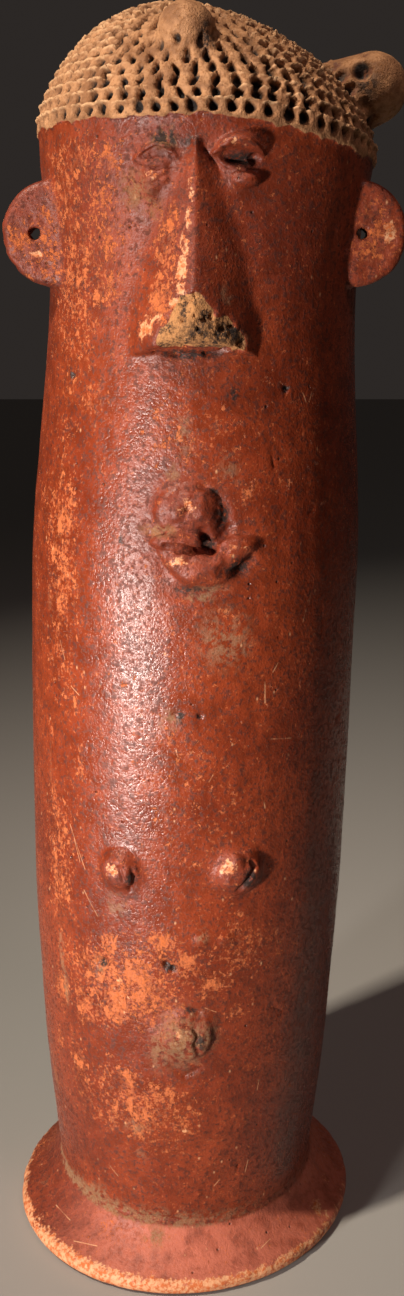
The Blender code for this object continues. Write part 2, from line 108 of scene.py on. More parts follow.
# %% Floor and light
def soft_panel(name, place, target, width, height, power, tint, spread=180):
    """An area light at a place that faces a target. A small spread keeps its beam on the figure."""
    light = bpy.data.lights.new(name, "AREA")
    light.shape = "RECTANGLE"
    light.size = width
    light.size_y = height
    light.energy = power
    light.color = tint
    light.spread = math.radians(spread)
    lamp = bpy.data.objects.new(name, light)
    lamp.location = place
    lamp.rotation_euler = (Vector(target) - Vector(place)).to_track_quat("-Z", "Y").to_euler()
    bpy.context.scene.collection.objects.link(lamp)
    return lamp


def plain_paint(name, colour, roughness):
    """A matt paint for what isn't part of the figure."""
    paint = bpy.data.materials.new(name)
    paint.use_nodes = True
    shader = paint.node_tree.nodes["Principled BSDF"]
    shader.inputs["Base Color"].default_value = (*colour, 1)
    shader.inputs["Roughness"].default_value = roughness
    return paint


bpy.ops.object.select_all(action="DESELECT")
bpy.ops.mesh.primitive_plane_add(size=6, location=(0, 1.5, 0))
floor = bpy.context.object
floor.name = "floor"
floor.data.materials.append(plain_paint("floor_paint", (0.36, 0.35, 0.33), 0.95))

world = bpy.data.worlds.new("studio")
world.use_nodes = True
sky = world.node_tree.nodes["Background"].inputs
sky["Color"].default_value = (1.00, 0.84, 0.76, 1)
sky["Strength"].default_value = 0.025
bpy.context.scene.world = world
bpy.context.scene.view_settings.view_transform = "Standard"

FACE, BELLY = (0, 0, 0.28), (0, 0, 0.22)
soft_panel("key", (-0.90, -0.66, 1.82), FACE, 0.10, 0.10, 2.3, (1.0, 0.87, 0.72), 46)
soft_panel("streak", (-0.56, -0.68, 0.12), BELLY, 0.060, 0.14, 2.0, (1.0, 0.91, 0.84), 70)
soft_panel("fill", (0.60, -0.80, 1.60), FACE, 0.4, 0.4, 0.30, (1.0, 0.70, 0.64), 50)
print("one floor and three soft panels")

# %% [markdown]
# ## The tube on its foot
# A potter raises such a tube from coils, ring upon ring. Spinning a drawn outline would do, but
# this tube leans and its crown is lopsided, so the rings are raised one by one: a filled circle is
# extruded upwards, and after each step its corners are moved to the place that a formula gives.
# A number that every corner carries says which corner of the ring it is.

# %% Rings of clay
def leave_all():
    """Leaves edit mode and deselects everything."""
    if bpy.context.object and bpy.context.object.mode != "OBJECT":
        bpy.ops.object.mode_set(mode="OBJECT")
    bpy.ops.object.select_all(action="DESELECT")


def raise_rings(name, rings):
    """A closed body over rings with the same number of corners, extruded from the first on."""
    leave_all()
    bpy.ops.mesh.primitive_circle_add(vertices=len(rings[0]), radius=0.01, fill_type="NGON")
    body = bpy.context.object
    body.name = name
    mark = body.data.attributes.new("corner", "INT", "POINT")
    mark.data.foreach_set("value", list(range(len(rings[0]))))
    bpy.ops.object.mode_set(mode="EDIT")
    bpy.ops.mesh.select_all(action="SELECT")
    for number, ring in enumerate(rings):
        if number:
            bpy.ops.mesh.extrude_region_move()
        edit = bmesh.from_edit_mesh(body.data)
        corner = edit.verts.layers.int["corner"]
        for spot in edit.verts:
            if spot.select:
                spot.co = ring[spot[corner]]
        bmesh.update_edit_mesh(body.data)
    bpy.ops.mesh.select_all(action="SELECT")
    bpy.ops.mesh.normals_make_consistent(inside=False)
    bpy.ops.object.mode_set(mode="OBJECT")
    return body


def smooth_through(points, at):
    """The height of a smooth curve through the points that makes no bump between them."""
    slopes = [(b[1] - a[1]) / (b[0] - a[0]) for a, b in zip(points, points[1:])]
    turns = [slopes[0]]
    for before, after in zip(slopes, slopes[1:]):
        turns.append(2 * before * after / (before + after) if before * after > 0 else 0.0)
    turns.append(slopes[-1])
    at = min(max(at, points[0][0]), points[-1][0])
    spot = max(i for i in range(len(slopes)) if points[i][0] <= at)
    (x0, y0), (x1, y1) = points[spot], points[spot + 1]
    s = (at - x0) / (x1 - x0)
    start = (1 + 2 * s) * (1 - s) ** 2 * y0 + s * (1 - s) ** 2 * (x1 - x0) * turns[spot]
    return start + s * s * (3 - 2 * s) * y1 + s * s * (s - 1) * (x1 - x0) * turns[spot + 1]


FOOT_RADIUS = 0.0674
FOOT_OVAL = 0.050
FOOT_OVAL_TURN = math.radians(25)
FOOT_RIM = 0.0036
FOOT_HEIGHT = 0.022
ANKLE_RADIUS = 0.0517
BROW_HEIGHT = 0.410
TUBE_RADII = (
    (FOOT_HEIGHT, ANKLE_RADIUS),
    (0.090, 0.0572),
    (0.180, 0.0600),
    (0.266, 0.0597),
    (0.372, 0.0530),
    (BROW_HEIGHT, 0.0572),
)
LEAN = 0.0106
LEAN_POWER = 1.6
HAIRLINE = 0.4145
HAIRLINE_DIP = 0.0100
CROWN_HEIGHT = 0.4550
CROWN_FULLNESS = 1.7
CROWN_SHIFT = 0.013
CROWN_SHIFT_POWER = 1.9


def tube_radius(height):
    """The tube's radius at a height, from the measured pairs of height and radius."""
    return smooth_through(TUBE_RADII, height)


def axis_at(height):
    """The x of the leaning tube's middle at a height."""
    return FOOT_MIDDLE + LEAN * (max(height, 0.0) / CROWN_HEIGHT) ** LEAN_POWER


def crown_point(rise, angle, inset=0.0):
    """A point of the crown. Rise runs from 0 at the hairline to 1 at the top, in a quarter turn."""
    quarter = rise * math.pi / 2
    foot = HAIRLINE - HAIRLINE_DIP * max(0.0, math.cos(angle)) ** 2
    share_up = math.sin(quarter) ** (2 / CROWN_FULLNESS)
    share_out = max(math.cos(quarter), 0.0) ** (2 / CROWN_FULLNESS)
    height = foot + (CROWN_HEIGHT - inset - foot) * share_up
    radius = (tube_radius(BROW_HEIGHT) - inset) * share_out
    middle = axis_at(height) - CROWN_SHIFT * share_up ** CROWN_SHIFT_POWER
    return Vector((middle + radius * math.cos(angle), radius * math.sin(angle), height))


print("the tube is", round(2000 * tube_radius(0.2)), "mm across at the belly")

# %% The tube, its foot and its crown
AROUND = 192


def level_ring(radius, height, oval=0.0):
    """A level ring about the leaning middle. Oval is how much longer it is one way than the other."""
    corners = []
    for k in range(AROUND):
        angle = 2 * math.pi * k / AROUND
        reach = radius * (1 + oval / 2 * math.cos(2 * (angle - FOOT_OVAL_TURN)))
        corners.append(Vector((axis_at(height) + reach * math.cos(angle), reach * math.sin(angle), height)))
    return corners


def foot_outline():
    """Radius and height pairs from the flat underside, round the rim, up the skirt to the crease."""
    edge = FOOT_RADIUS - FOOT_RIM
    pairs = []
    for step in range(11):
        turn = math.radians(-90 + 15 * step)
        pairs.append((edge + FOOT_RIM * math.cos(turn), FOOT_RIM * (1 + math.sin(turn))))
    start = pairs[-1]
    for step in range(1, 9):
        share = step / 9
        dip = 0.0014 * 4 * share * (1 - share)
        radius = start[0] + (ANKLE_RADIUS - start[0]) * share - dip
        pairs.append((radius, start[1] + (FOOT_HEIGHT - start[1]) * share - dip))
    return pairs


tube_rings = [level_ring(r, z, FOOT_OVAL * (1 - z / FOOT_HEIGHT)) for r, z in foot_outline()]
TUBE_STEPS = 64
for step in range(TUBE_STEPS + 1):
    height = FOOT_HEIGHT + (HAIRLINE - HAIRLINE_DIP - FOOT_HEIGHT) * step / TUBE_STEPS
    tube_rings.append(level_ring(tube_radius(height), height))
for step in range(1, 24):
    angles = [2 * math.pi * k / AROUND for k in range(AROUND)]
    tube_rings.append([crown_point(step / 24.2, angle) for angle in angles])
tube = raise_rings("tube", tube_rings)
print("the tube has", len(tube.data.polygons), "faces in", len(tube_rings), "rings")

# %% [markdown]
# ## Ears, knobs and lumps
# The ears are flat discs pressed onto the sides of the head and pierced with a twig. A cylinder
# whose two rims are bevelled is such a disc. The knobs of hair, the breasts, the navel and the
# eyeballs are pinched lumps, and a sphere that is stretched and pushed half into the tube is one.

# %% Discs and lumps
def leaves_tube(side, height, lift=0.0):
    """The point on the front of the tube at a distance to +X of its middle, and the way out."""
    radius = tube_radius(height)
    angle = math.asin(side / radius)
    out = Vector((math.sin(angle), -math.cos(angle), 0))
    return Vector((axis_at(height), 0, height)) + out * (radius + lift), out


def face_along(out):
    """A turn whose third axis points out of the clay and whose second one points up."""
    up = Vector((0, 0, 1))
    across = up.cross(out).normalized()
    return Matrix((across, out.cross(across), out)).transposed().to_4x4()


def settle(body, place, turn=None):
    """Turns a body about the origin, moves it to its place, and keeps both in its mesh."""
    body.data.transform(turn or Matrix.Identity(4))
    body.data.transform(Matrix.Translation(place))
    return body


def pressed_disc(name, radius, thickness, rounding, place, out):
    """A round disc with bevelled rims that faces out."""
    leave_all()
    bpy.ops.mesh.primitive_cylinder_add(vertices=72, radius=radius, depth=thickness)
    disc = bpy.context.object
    disc.name = name
    bpy.ops.object.mode_set(mode="EDIT")
    bpy.ops.mesh.select_all(action="SELECT")
    bpy.ops.mesh.edges_select_sharp(sharpness=math.radians(60))
    bpy.ops.mesh.bevel(offset=rounding, segments=6, affect="EDGES")
    bpy.ops.object.mode_set(mode="OBJECT")
    return settle(disc, place, face_along(out))


def lump(name, radii, place, out):
    """A stretched sphere. Its radii run across, up and out of the clay."""
    leave_all()
    bpy.ops.mesh.primitive_uv_sphere_add(segments=40, ring_count=24, radius=1)
    ball = bpy.context.object
    ball.name = name
    bpy.ops.object.mode_set(mode="EDIT")
    bpy.ops.mesh.select_all(action="SELECT")
    bpy.ops.transform.resize(value=radii)
    bpy.ops.object.mode_set(mode="OBJECT")
    return settle(ball, place, face_along(out))


EAR_RADIUS = 0.0168
EAR_THICKNESS = 0.0105
EAR_HEIGHT = 0.3825
EAR_ROUND = math.radians(67.6)
EAR_TURN = math.radians(5)
EAR_ROUNDING = 0.0026


def ear_middle(way):
    """The middle of an ear: -1 is the left one, 1 the right one."""
    out = Vector((way * math.sin(EAR_ROUND), -math.cos(EAR_ROUND), 0))
    return Vector((axis_at(EAR_HEIGHT), 0, EAR_HEIGHT)) + out * tube_radius(EAR_HEIGHT)


clay = [tube]
for name, way in (("left_ear", -1), ("right_ear", 1)):
    facing = Vector((way * math.sin(EAR_TURN), -math.cos(EAR_TURN), 0))
    clay.append(pressed_disc(name, EAR_RADIUS, EAR_THICKNESS, EAR_ROUNDING, ear_middle(way), facing))
for name, side, height, radii in (
    ("left_breast", -0.0235, 0.1705, (0.0074, 0.0076, 0.0042)),
    ("right_breast", 0.0175, 0.1705, (0.0084, 0.0084, 0.0044)),
    ("navel", 0.0007, 0.1060, (0.0092, 0.0098, 0.0036)),
):
    spot, out = leaves_tube(side, height)
    clay.append(lump(name, radii, spot, out))
print("the discs and lumps have", sum(len(thing.data.polygons) for thing in clay[1:]), "faces")

# %% [markdown]
# ## Knobs of hair
# Two blunt horns of hair stand on the cap, one over the brow and one at the right. Each is a chain
# of rings again, along a line instead of upwards.

# %% Knobs of hair
def by_the_hairline(turn, inset, rise):
    """A point inside the crown, in from the brow's radius and up from the hairline."""
    out = Vector((math.sin(turn), -math.cos(turn), 0))
    return Vector((axis_at(HAIRLINE), 0, HAIRLINE + rise)) + out * (tube_radius(BROW_HEIGHT) - inset)


def rings_along(path, widths, depths, outs, sides=32):
    """Rings about the points of a path, wide across the surface and deep out of it."""
    rings = []
    for k, spot in enumerate(path):
        before, after = path[max(k - 1, 0)], path[min(k + 1, len(path) - 1)]
        along = (after - before).normalized()
        out = (outs[k] - along * outs[k].dot(along)).normalized()
        across = out.cross(along)
        ring = []
        for step in range(sides):
            turn = 2 * math.pi * step / sides
            ring.append(spot + across * widths[k] * math.cos(turn) + out * depths[k] * math.sin(turn))
        rings.append(ring)
    return rings


def knob(name, base, tip, base_radius, tip_radius, root):
    """A blunt horn from a base to a tip, with a hidden root that reaches into the crown."""
    along = (tip - base).normalized()
    path = [base - along * root]
    radii = [0.0004]
    for step in range(9):
        path.append(base.lerp(tip, step / 8))
        radii.append(base_radius + (tip_radius - base_radius) * step / 8)
    for step in range(1, 9):
        turn = math.radians(step * 11)
        path.append(tip + along * tip_radius * math.sin(turn))
        radii.append(tip_radius * math.cos(turn))
    return raise_rings(name, rings_along(path, radii, radii, [Vector((0, 1, 0.01))] * len(path)))


FRONT_KNOB_TURN = math.radians(-9.5)
SIDE_KNOB_TURN = math.radians(84.5)
# Each knob has its base, its tip, the radius at both, and the length of its root.
knob_lines = {
    "front_knob": (
        by_the_hairline(FRONT_KNOB_TURN, 0.0195, 0.0145),
        by_the_hairline(FRONT_KNOB_TURN, 0.0158, 0.0250),
        0.0148, 0.0086, 0.0110,
    ),
    "side_knob": (
        by_the_hairline(SIDE_KNOB_TURN, 0.0170, 0.0092),
        by_the_hairline(SIDE_KNOB_TURN, 0.0022, 0.0146),
        0.0128, 0.0110, 0.0070,
    ),
}
for name, line in knob_lines.items():
    clay.append(knob(name, *line))
print("two knobs of hair")

# %% [markdown]
# ## The nose
# The nose is a long wedge, pinched out of a slab. Its cross-section is a rounded ridge that grows
# wider and higher downwards and ends in a broken tip over a short slope. The same rings make it,
# each with the drawn cross-section in place of a circle.

# %% The nose
NOSE_LEDGE = 0.3490
NOSE_LENGTH = 0.0590
NOSE_SLOPE = 0.0055
NOSE_FRONT = 40
NOSE_WIDTH = (0.0440, 0.0050)
NOSE_REACH = (0.0155, 0.0035)


def nose_ring(share, sinking):
    """The cross-section at a share of the way up. Sinking slopes the underside back to the face."""
    width = NOSE_WIDTH[0] * (1 - share ** 1.9) + NOSE_WIDTH[1] * share
    reach = NOSE_REACH[0] + (NOSE_REACH[1] - NOSE_REACH[0]) * share
    reach -= 0.0040 * max(0.0, 1 - share / 0.2) ** 2
    middle = -0.0022 - 0.0015 * share
    height = NOSE_LEDGE + NOSE_LENGTH * share
    wing = max(0.0, 1 - max(share - 0.04, 0.0) / 0.16)
    ring = []
    for k in range(NOSE_FRONT + 1):
        across = 2 * k / NOSE_FRONT - 1
        pinch = 1.12 + (1.6 if across < 0 else 1.0) * wing * wing
        lift = reach * (1 - abs(across) ** pinch)
        drop = NOSE_SLOPE * (1 - lift / reach) * sinking
        spot, _ = leaves_tube(middle + width / 2 * across, height - drop, -0.0015)
        ring.append(spot - Vector((0, lift, 0)))
    for side in (0.3, 0.1, -0.1, -0.3):
        spot, _ = leaves_tube(middle + width * side, height - NOSE_SLOPE * sinking, -0.0045)
        ring.append(spot)
    return ring


nose_rings = [nose_ring(step / 40, max(0.0, 1 - step / 2)) for step in range(41)]
clay.append(raise_rings("nose", nose_rings))
print("the nose has", len(nose_rings), "rings")

# %% [markdown]
# ## Lids and lips
# A lid is a roll of clay laid in an arch and pressed down at its ends. The same rings follow the
# arch over the tube. The upper lip is heaped up to the left with a dent beside it, and the lower
# lip sags.

# %% Lids and lips
def arc_roll(name, side, height, width, rise, thick, proud, steps=22):
    """A roll of clay laid over the tube in an arch that rises, or sags, between its ends."""
    path, widths, depths, outs = [], [], [], []
    for step in range(steps + 1):
        share = step / steps
        fullness = math.sin(math.pi * min(max(share, 0.01), 0.99))
        spot, out = leaves_tube(side + width * (share - 0.5), height + rise * fullness)
        path.append(spot)
        outs.append(out)
        widths.append(thick * fullness ** 0.6)
        depths.append(proud * fullness ** 0.6)
    return raise_rings(name, rings_along(path, widths, depths, outs, 20))


for name, side, height, lid, lid_proud in (
    ("left", -0.0150, 0.4005, 0.0015, 0.0027),
    ("right", 0.0092, 0.4020, 0.0024, 0.0053),
):
    spot, out = leaves_tube(side, height)
    clay.append(lump(name + "_eyeball", (0.0050, 0.0031, 0.0016), spot, out))
    clay.append(arc_roll(
        name + "_upper_lid", side, height + 0.0011, 0.0115 + 2 * lid, 0.0043, lid, lid_proud))
for name, side, height, radii in (
    ("left_lower_lid", -0.0151, 0.3965, (0.0046, 0.0016, 0.0023)),
    ("left_lid_point", -0.0163, 0.3948, (0.0026, 0.0030, 0.0021)),
    ("right_lower_lid", 0.0117, 0.3965, (0.0050, 0.0025, 0.0042)),
    ("upper_lip", -0.0022, 0.2958, (0.0112, 0.0092, 0.0033)),
    ("lip_flap", -0.0060, 0.2868, (0.0092, 0.0030, 0.0044)),
    ("lip_corner", 0.0135, 0.2850, (0.0066, 0.0034, 0.0034)),
):
    spot, out = leaves_tube(side, height)
    clay.append(lump(name, radii, spot, out))
MOUTH_HEIGHT = 0.2853
clay.append(arc_roll("lower_lip", 0.0027, MOUTH_HEIGHT, 0.0295, -0.0080, 0.0058, 0.0044))
print("two eyes and a mouth are laid on")

# %% [markdown]
# ## One body of clay
# Wet clay has no seams. The parts are joined and remeshed with small voxels, which fuses them into
# one skin. The ears are pierced, and then a few rounds of smoothing draw a thumb over the joints. A
# Boolean union would keep them knife-sharp.

# %% One body of clay
VOXEL = 0.00068
leave_all()
for part in clay:
    part.select_set(True)
bpy.context.view_layer.objects.active = tube
bpy.ops.object.join()
figure = bpy.context.object
figure.name = "fired_clay_figure"
EAR_HOLE_RADIUS = 0.00185
ear_holes = [ear_middle(-1) - Vector((0.0062, 0, 0)), ear_middle(1) + Vector((0.0024, 0, 0))]


def only(thing):
    """Selects one thing and makes it active."""
    leave_all()
    thing.select_set(True)
    bpy.context.view_layer.objects.active = thing


def apply_modifier(kind, **settings):
    """Gives the figure a modifier and applies it at once."""
    only(figure)
    modifier = figure.modifiers.new(kind, kind)
    for title, value in settings.items():
        setattr(modifier, title, value)
    bpy.ops.object.modifier_apply(modifier=modifier.name)


leave_all()
sticks = []
for place in ear_holes:
    bpy.ops.mesh.primitive_cylinder_add(
        vertices=24, radius=EAR_HOLE_RADIUS, depth=0.03, rotation=(math.pi / 2, 0, 0), location=place)
    sticks.append(bpy.context.object)
for stick in sticks:
    stick.select_set(True)
bpy.ops.object.join()
sticks = bpy.context.object
only(figure)
figure.data.remesh_voxel_size = VOXEL
bpy.ops.object.voxel_remesh()
apply_modifier("BOOLEAN", operation="DIFFERENCE", solver="EXACT", object=sticks)
bpy.data.objects.remove(sticks)
apply_modifier("SMOOTH", factor=0.5, iterations=5)
skin_tree = BVHTree.FromObject(figure, bpy.context.evaluated_depsgraph_get())
# A ray through the middle of each hole ends 8 mm behind it, past the ear but before the head.
BEFORE_HOLE, PAST_HOLE = 0.020, 0.008
stopped = []
for place in ear_holes:
    start = place - Vector((0, BEFORE_HOLE, 0))
    stopped.append(skin_tree.ray_cast(start, Vector((0, 1, 0)), BEFORE_HOLE + PAST_HOLE)[0])
print("one skin of", len(figure.data.vertices), "corners; ear holes open:", stopped.count(None), "of 2")

# %% [markdown]
# ## Places read off the photograph
# The small marks of the hand sit where the photograph shows them. A pixel is turned into a ray from
# the camera, and the ray stops on the clay, so a mark always lies on what carries it.

# %% From a pixel to the clay
def seen_at(column, row):
    """The place on the clay that a pixel of the photograph shows, and the way out there."""
    spot, out, _, _ = skin_tree.ray_cast(CAMERA_PLACE, sight(column, row))
    return np.array(spot), np.array(out)


print("the tip of the nose is at", np.round(seen_at(192, 320)[0] * 1000, 1), "mm")

# %% [markdown]
# ## Sculpting in numbers
# Sculpt brushes can't be driven without a window, but what a brush does is simple: it moves the
# corners near it along the way out of the surface. Here all corners of the skin are held in one
# table, and each brush adds its strokes to a second table of how far every corner moves.

# %% Brushes
def read_skin():
    """The places of all corners and the ways out there, and their order from the floor up."""
    count = len(figure.data.vertices)
    places, ways = np.empty(count * 3), np.empty(count * 3)
    figure.data.vertices.foreach_get("co", places)
    figure.data.vertex_normals.foreach_get("vector", ways)
    places = places.reshape(-1, 3)
    upwards = np.argsort(places[:, 2])
    return places, ways.reshape(-1, 3), upwards, places[upwards, 2]


def write_skin(places):
    """Gives the corners new places, which stay within the solid's box."""
    low, high = np.array(solid_box[0]), np.array(solid_box[1])
    figure.data.vertices.foreach_set("co", np.clip(places, low, high).ravel())
    figure.data.update()


def renew_skin(places):
    """Writes moved corners and reads the skin again, with its new ways out."""
    write_skin(places)
    return read_skin()


def soft_step(low, high, value):
    """Runs softly from 0 at low to 1 at high. Low may be the greater one."""
    share = np.clip((value - low) / (high - low), 0, 1)
    return share * share * (3 - 2 * share)


def rough(places, size, seed):
    """Smooth chance numbers from -1 to 1 over space, with bumps about a size wide."""
    lattice = np.random.default_rng(seed).uniform(-1, 1, (40, 40, 40))
    spot = places / size + 20
    cell = np.floor(spot).astype(int)
    share = spot - cell
    share = share * share * (3 - 2 * share)
    total = np.zeros(len(places))
    for corner in np.ndindex(2, 2, 2):
        weight = np.prod(np.where(corner, share, 1 - share), axis=1)
        total += weight * lattice[tuple(((cell + corner) % 40).T)]
    return total


def within(centre, reach):
    """Which corners of the skin lie within reach of a place. Only those at its height are tried."""
    near = upwards[slice(*np.searchsorted(heights, (centre[2] - reach, centre[2] + reach)))]
    return near[np.linalg.norm(skin[near] - centre, axis=1) < reach]


def stroke_distance(places, path):
    """How far each place lies from a chain of points, and how far along the chain, from 0 to 1."""
    best = np.full(len(places), 1e9)
    along = np.zeros(len(places))
    for k, (start, end) in enumerate(zip(path, path[1:])):
        way = end - start
        share = np.clip((places - start) @ way / max(way @ way, 1e-12), 0, 1)
        apart = np.linalg.norm(places - (start + share[:, None] * way), axis=1)
        closer = apart < best
        best[closer] = apart[closer]
        along[closer] = (k + share[closer]) / (len(path) - 1)
    return best, along


def draw_stroke(move, pixels, radius, depth, sharpness=1.5):
    """Pushes a groove (or with a negative depth raises a ridge) along pixels of the photograph."""
    path = np.array([seen_at(*pixel)[0] for pixel in pixels])
    centre = path.mean(axis=0)
    reach = np.linalg.norm(path - centre, axis=1).max() + 3 * radius
    near = within(centre, reach)
    apart, along = stroke_distance(skin[near], path)
    fade = np.sin(np.pi * np.clip(0.12 + 0.76 * along, 0, 1)) ** 0.5
    shape = np.clip(1 - (apart / radius) ** 2, 0, 1) ** sharpness
    move[near] -= depth * shape * fade


def dab(move, pixel, radius, depth, sharpness=1.5):
    """Pushes in one round dent, or with a negative depth raises a bump."""
    centre, _ = seen_at(*pixel)
    near = within(centre, radius)
    apart = np.linalg.norm(skin[near] - centre, axis=1) / radius
    move[near] -= depth * (1 - apart ** 2) ** sharpness


def fill_joints(weight, rounds):
    """Draws clay into hollow joints, as a wet thumb does, and leaves raised edges alone."""
    edges = np.empty(len(figure.data.edges) * 2, dtype=np.int32)
    figure.data.edges.foreach_get("vertices", edges)
    edges = edges.reshape(-1, 2)
    edges = edges[(weight[edges] > 0.02).any(axis=1)]
    used, slots = np.unique(edges, return_inverse=True)
    first, second = slots.reshape(-1, 2).T
    count = np.bincount(first, minlength=len(used)) + np.bincount(second, minlength=len(used))
    places, ways, share = skin[used], way_out[used], weight[used]
    for _ in range(rounds):
        pull = np.empty_like(places)
        for axis in range(3):
            line = places[:, axis]
            total = np.bincount(first, line[second], len(used)) + np.bincount(second, line[first], len(used))
            pull[:, axis] = total / count - line
        rise = np.clip((pull * ways).sum(axis=1), 0, None)
        places += ways * (0.5 * rise * share)[:, None]
    skin[used] = places


skin, way_out, upwards, heights = read_skin()
print("brushes for", len(skin), "corners")

# %% [markdown]
# ## A wet thumb over the joints
# Where a piece was pressed on, the maker drew clay into the joint. The left ear runs into the head
# without a crease, while the right one kept a sharp inner edge. The crease of the foot lies a
# little lower in front, where the tube sagged.

# %% Soft joints
THUMB_ROUNDS = 60
CREASE_SAG = 0.0024
weight = np.zeros(len(skin))
for pixels, reach, share in (
    (((50, 200), (58, 237), (56, 275)), 0.019, 1.0),
    (((160, 185), (142, 250), (132, 310)), 0.012, 1.0),
    (((222, 190), (240, 240), (258, 318)), 0.008, 0.55),
    (((345, 195), (343, 280)), 0.012, 0.12),
    (((165, 505), (190, 495), (212, 510)), 0.013, 0.60),
    (((150, 580), (195, 592), (245, 578)), 0.005, 0.40),
    (((250, 552), (264, 540)), 0.006, 1.0),
    (((117, 877), (118, 878)), 0.013, 0.9),
    (((236, 870), (237, 871)), 0.014, 0.9),
    (((185, 1035), (186, 1036)), 0.016, 1.0),
    (((190, 50), (186, 70)), 0.016, 1.0),
    (((362, 95), (372, 75)), 0.020, 0.7),
):
    path = np.array([seen_at(*pixel)[0] for pixel in pixels])
    apart, _ = stroke_distance(skin, path)
    weight = np.maximum(weight, share * soft_step(reach, reach * 0.6, apart))
fill_joints(weight, THUMB_ROUNDS)
in_front = np.clip(-skin[:, 1] / 0.055, 0, 1)
skin[:, 2] -= CREASE_SAG * in_front * np.exp(-((skin[:, 2] - FOOT_HEIGHT) / 0.010) ** 2)
skin, way_out, upwards, heights = renew_skin(skin)
print("the joints took clay at", int((weight > 0.02).sum()), "corners")

# %% [markdown]
# ## The surface of the tube
# Coiled and scraped clay is never even. Two sizes of soft unevenness take away the lathe-turned
# look, and long, shallow facets run up the tube where the pebble rubbed it.

# %% Hand-made unevenness
above_floor = soft_step(0.0005, 0.004, skin[:, 2])
around = np.arctan2(skin[:, 1], skin[:, 0] - FOOT_MIDDLE)
strips = np.stack([around * 0.058, np.zeros(len(skin)), skin[:, 2] * 0.06], axis=1)
move = 0.00028 * rough(skin, 0.034, 1) + 0.00012 * rough(skin, 0.011, 2)
move += 0.00007 * rough(strips, 0.0045, 3)
skin += way_out * (move * above_floor)[:, None]
skin, way_out, upwards, heights = renew_skin(skin)
print("the skin moves by up to", round(np.abs(move).max() * 1000, 2), "mm")

# %% [markdown]
# ## Pricked hair
# The hair is a cap of bare clay, pricked in rows with a pointed stick that was held at a slant.
# Each prick leaves a deep, narrow pit and pushes up a thin ridge of clay above it. The rows follow
# the hairline, and the pits of one row stand between those of the next. Hundreds of modelled
# cutters would be slow to cut, so the pits are pressed into the skin by the same kind of brush.

# %% Where the pits lie
HAIR_ROW = 0.0041
HAIR_STITCH = 0.0058
PIT_WIDTH = 0.00175
PIT_TALL = 0.00205
PIT_DEPTH = 0.0030
RIDGE_HEIGHT = 0.00105
HAIR_PROUD = 0.0006


def crown_rise_at(length):
    """The rise at which the crown is a length away from the hairline."""
    walked, before = 0.0, crown_point(0, math.pi / 2)
    for step in range(1, 301):
        point = crown_point(step / 300, math.pi / 2)
        walked += (point - before).length
        before = point
        if walked >= length:
            return step / 300
    return 1.0


chance = np.random.default_rng(7)
pits = []
row = 0
while True:
    middle = crown_rise_at((row + 0.62) * HAIR_ROW)
    across = (crown_point(middle, 0) - crown_point(middle, math.pi)).length
    stitches = int(math.pi * across / HAIR_STITCH)
    if middle >= 0.985 or stitches < 4:
        break
    for k in range(stitches):
        angle = 2 * math.pi * (k + 0.5 * (row % 2) + chance.uniform(-0.12, 0.12)) / stitches
        rise = middle + chance.uniform(-0.08, 0.08) * HAIR_ROW / 0.075
        spot = crown_point(rise, angle)
        right = (crown_point(rise, angle + 0.01) - spot).normalized()
        up = (crown_point(rise + 0.01, angle) - spot).normalized()
        pits.append((np.array(spot), np.array(right), np.array(up), angle))
    row += 1
print(len(pits), "pits in", row, "rows")

# %% Pressing the pits
hairline_here = HAIRLINE - HAIRLINE_DIP * np.maximum(0, np.cos(around)) ** 2
hairline_here += 0.0011 * rough(skin, 0.0045, 5) + 0.0008 * rough(skin, 0.0019, 6)
in_hair = soft_step(-0.0004, 0.0008, skin[:, 2] - hairline_here)
from_knobs = np.full(len(skin), 1e9)
for base, tip, radius, tip_radius, _ in knob_lines.values():
    apart, along = stroke_distance(skin, [np.array(base), np.array(tip)])
    from_knobs = np.minimum(from_knobs, apart - radius - (tip_radius - radius) * along)
cap = soft_step(-0.0010, 0.0012, from_knobs) * in_hair

move = in_hair * HAIR_PROUD
# The third table is painted shade: how dark each pit's hollow is painted, darkest at its middle.
pressed, ridge, painted_pit_shade = (np.zeros(len(skin)) for _ in range(3))
foot_of_knob = np.array(knob_lines["front_knob"][0])
for spot, right, up, angle in pits:
    near = within(spot, 0.0046)
    if len(near) == 0:
        continue
    local = skin[near] - spot
    by_knob = float(soft_step(0.0260, 0.0180, np.linalg.norm(spot - foot_of_knob)))
    boldness = 0.84 + 0.24 * math.cos(angle + math.radians(45))
    slant = math.radians(chance.uniform(8, 30) + by_knob * chance.uniform(-45, 10))
    across = local @ right * math.cos(slant) + local @ up * math.sin(slant)
    upward = local @ up * math.cos(slant) - local @ right * math.sin(slant)
    wide = PIT_WIDTH * boldness * chance.uniform(0.8, 1.2) * (1 - 0.40 * by_knob)
    tall = PIT_TALL * boldness * chance.uniform(0.8, 1.2) * (1 + 0.25 * by_knob)
    wide_here = wide * (1 - 0.30 * np.clip(upward / tall, -1, 1))
    reach = np.sqrt((across / wide_here) ** 2 + (upward / tall) ** 2)
    pit = np.clip(1 - reach ** 3, 0, 1) ** 0.5
    pressed[near] = np.maximum(pressed[near], pit * boldness * chance.uniform(0.8, 1.15))
    painted_pit_shade[near] = np.maximum(painted_pit_shade[near], pit * np.clip(1.5 - reach, 0, 1))
    level, beside = local @ up, np.abs(local @ right) / (0.62 * HAIR_STITCH)
    scallop = HAIR_ROW * (0.46 - 0.16 * beside ** 2)
    bar = np.exp(-((level - scallop) / 0.00050) ** 2) * np.clip(1 - beside ** 4, 0, 1)
    ridge[near] = np.maximum(ridge[near], bar * (1 - 0.7 * by_knob) * chance.uniform(0.7, 1.1))
move += cap * (RIDGE_HEIGHT * ridge * (1 - pressed) - PIT_DEPTH * pressed)
move += cap * 0.00020 * rough(skin, 0.0016, 8) + in_hair * (1 - cap) * 0.00012 * rough(skin, 0.0020, 9)
skin += way_out * move[:, None]
painted_pit_shade *= cap
ridge *= cap * (1 - painted_pit_shade)
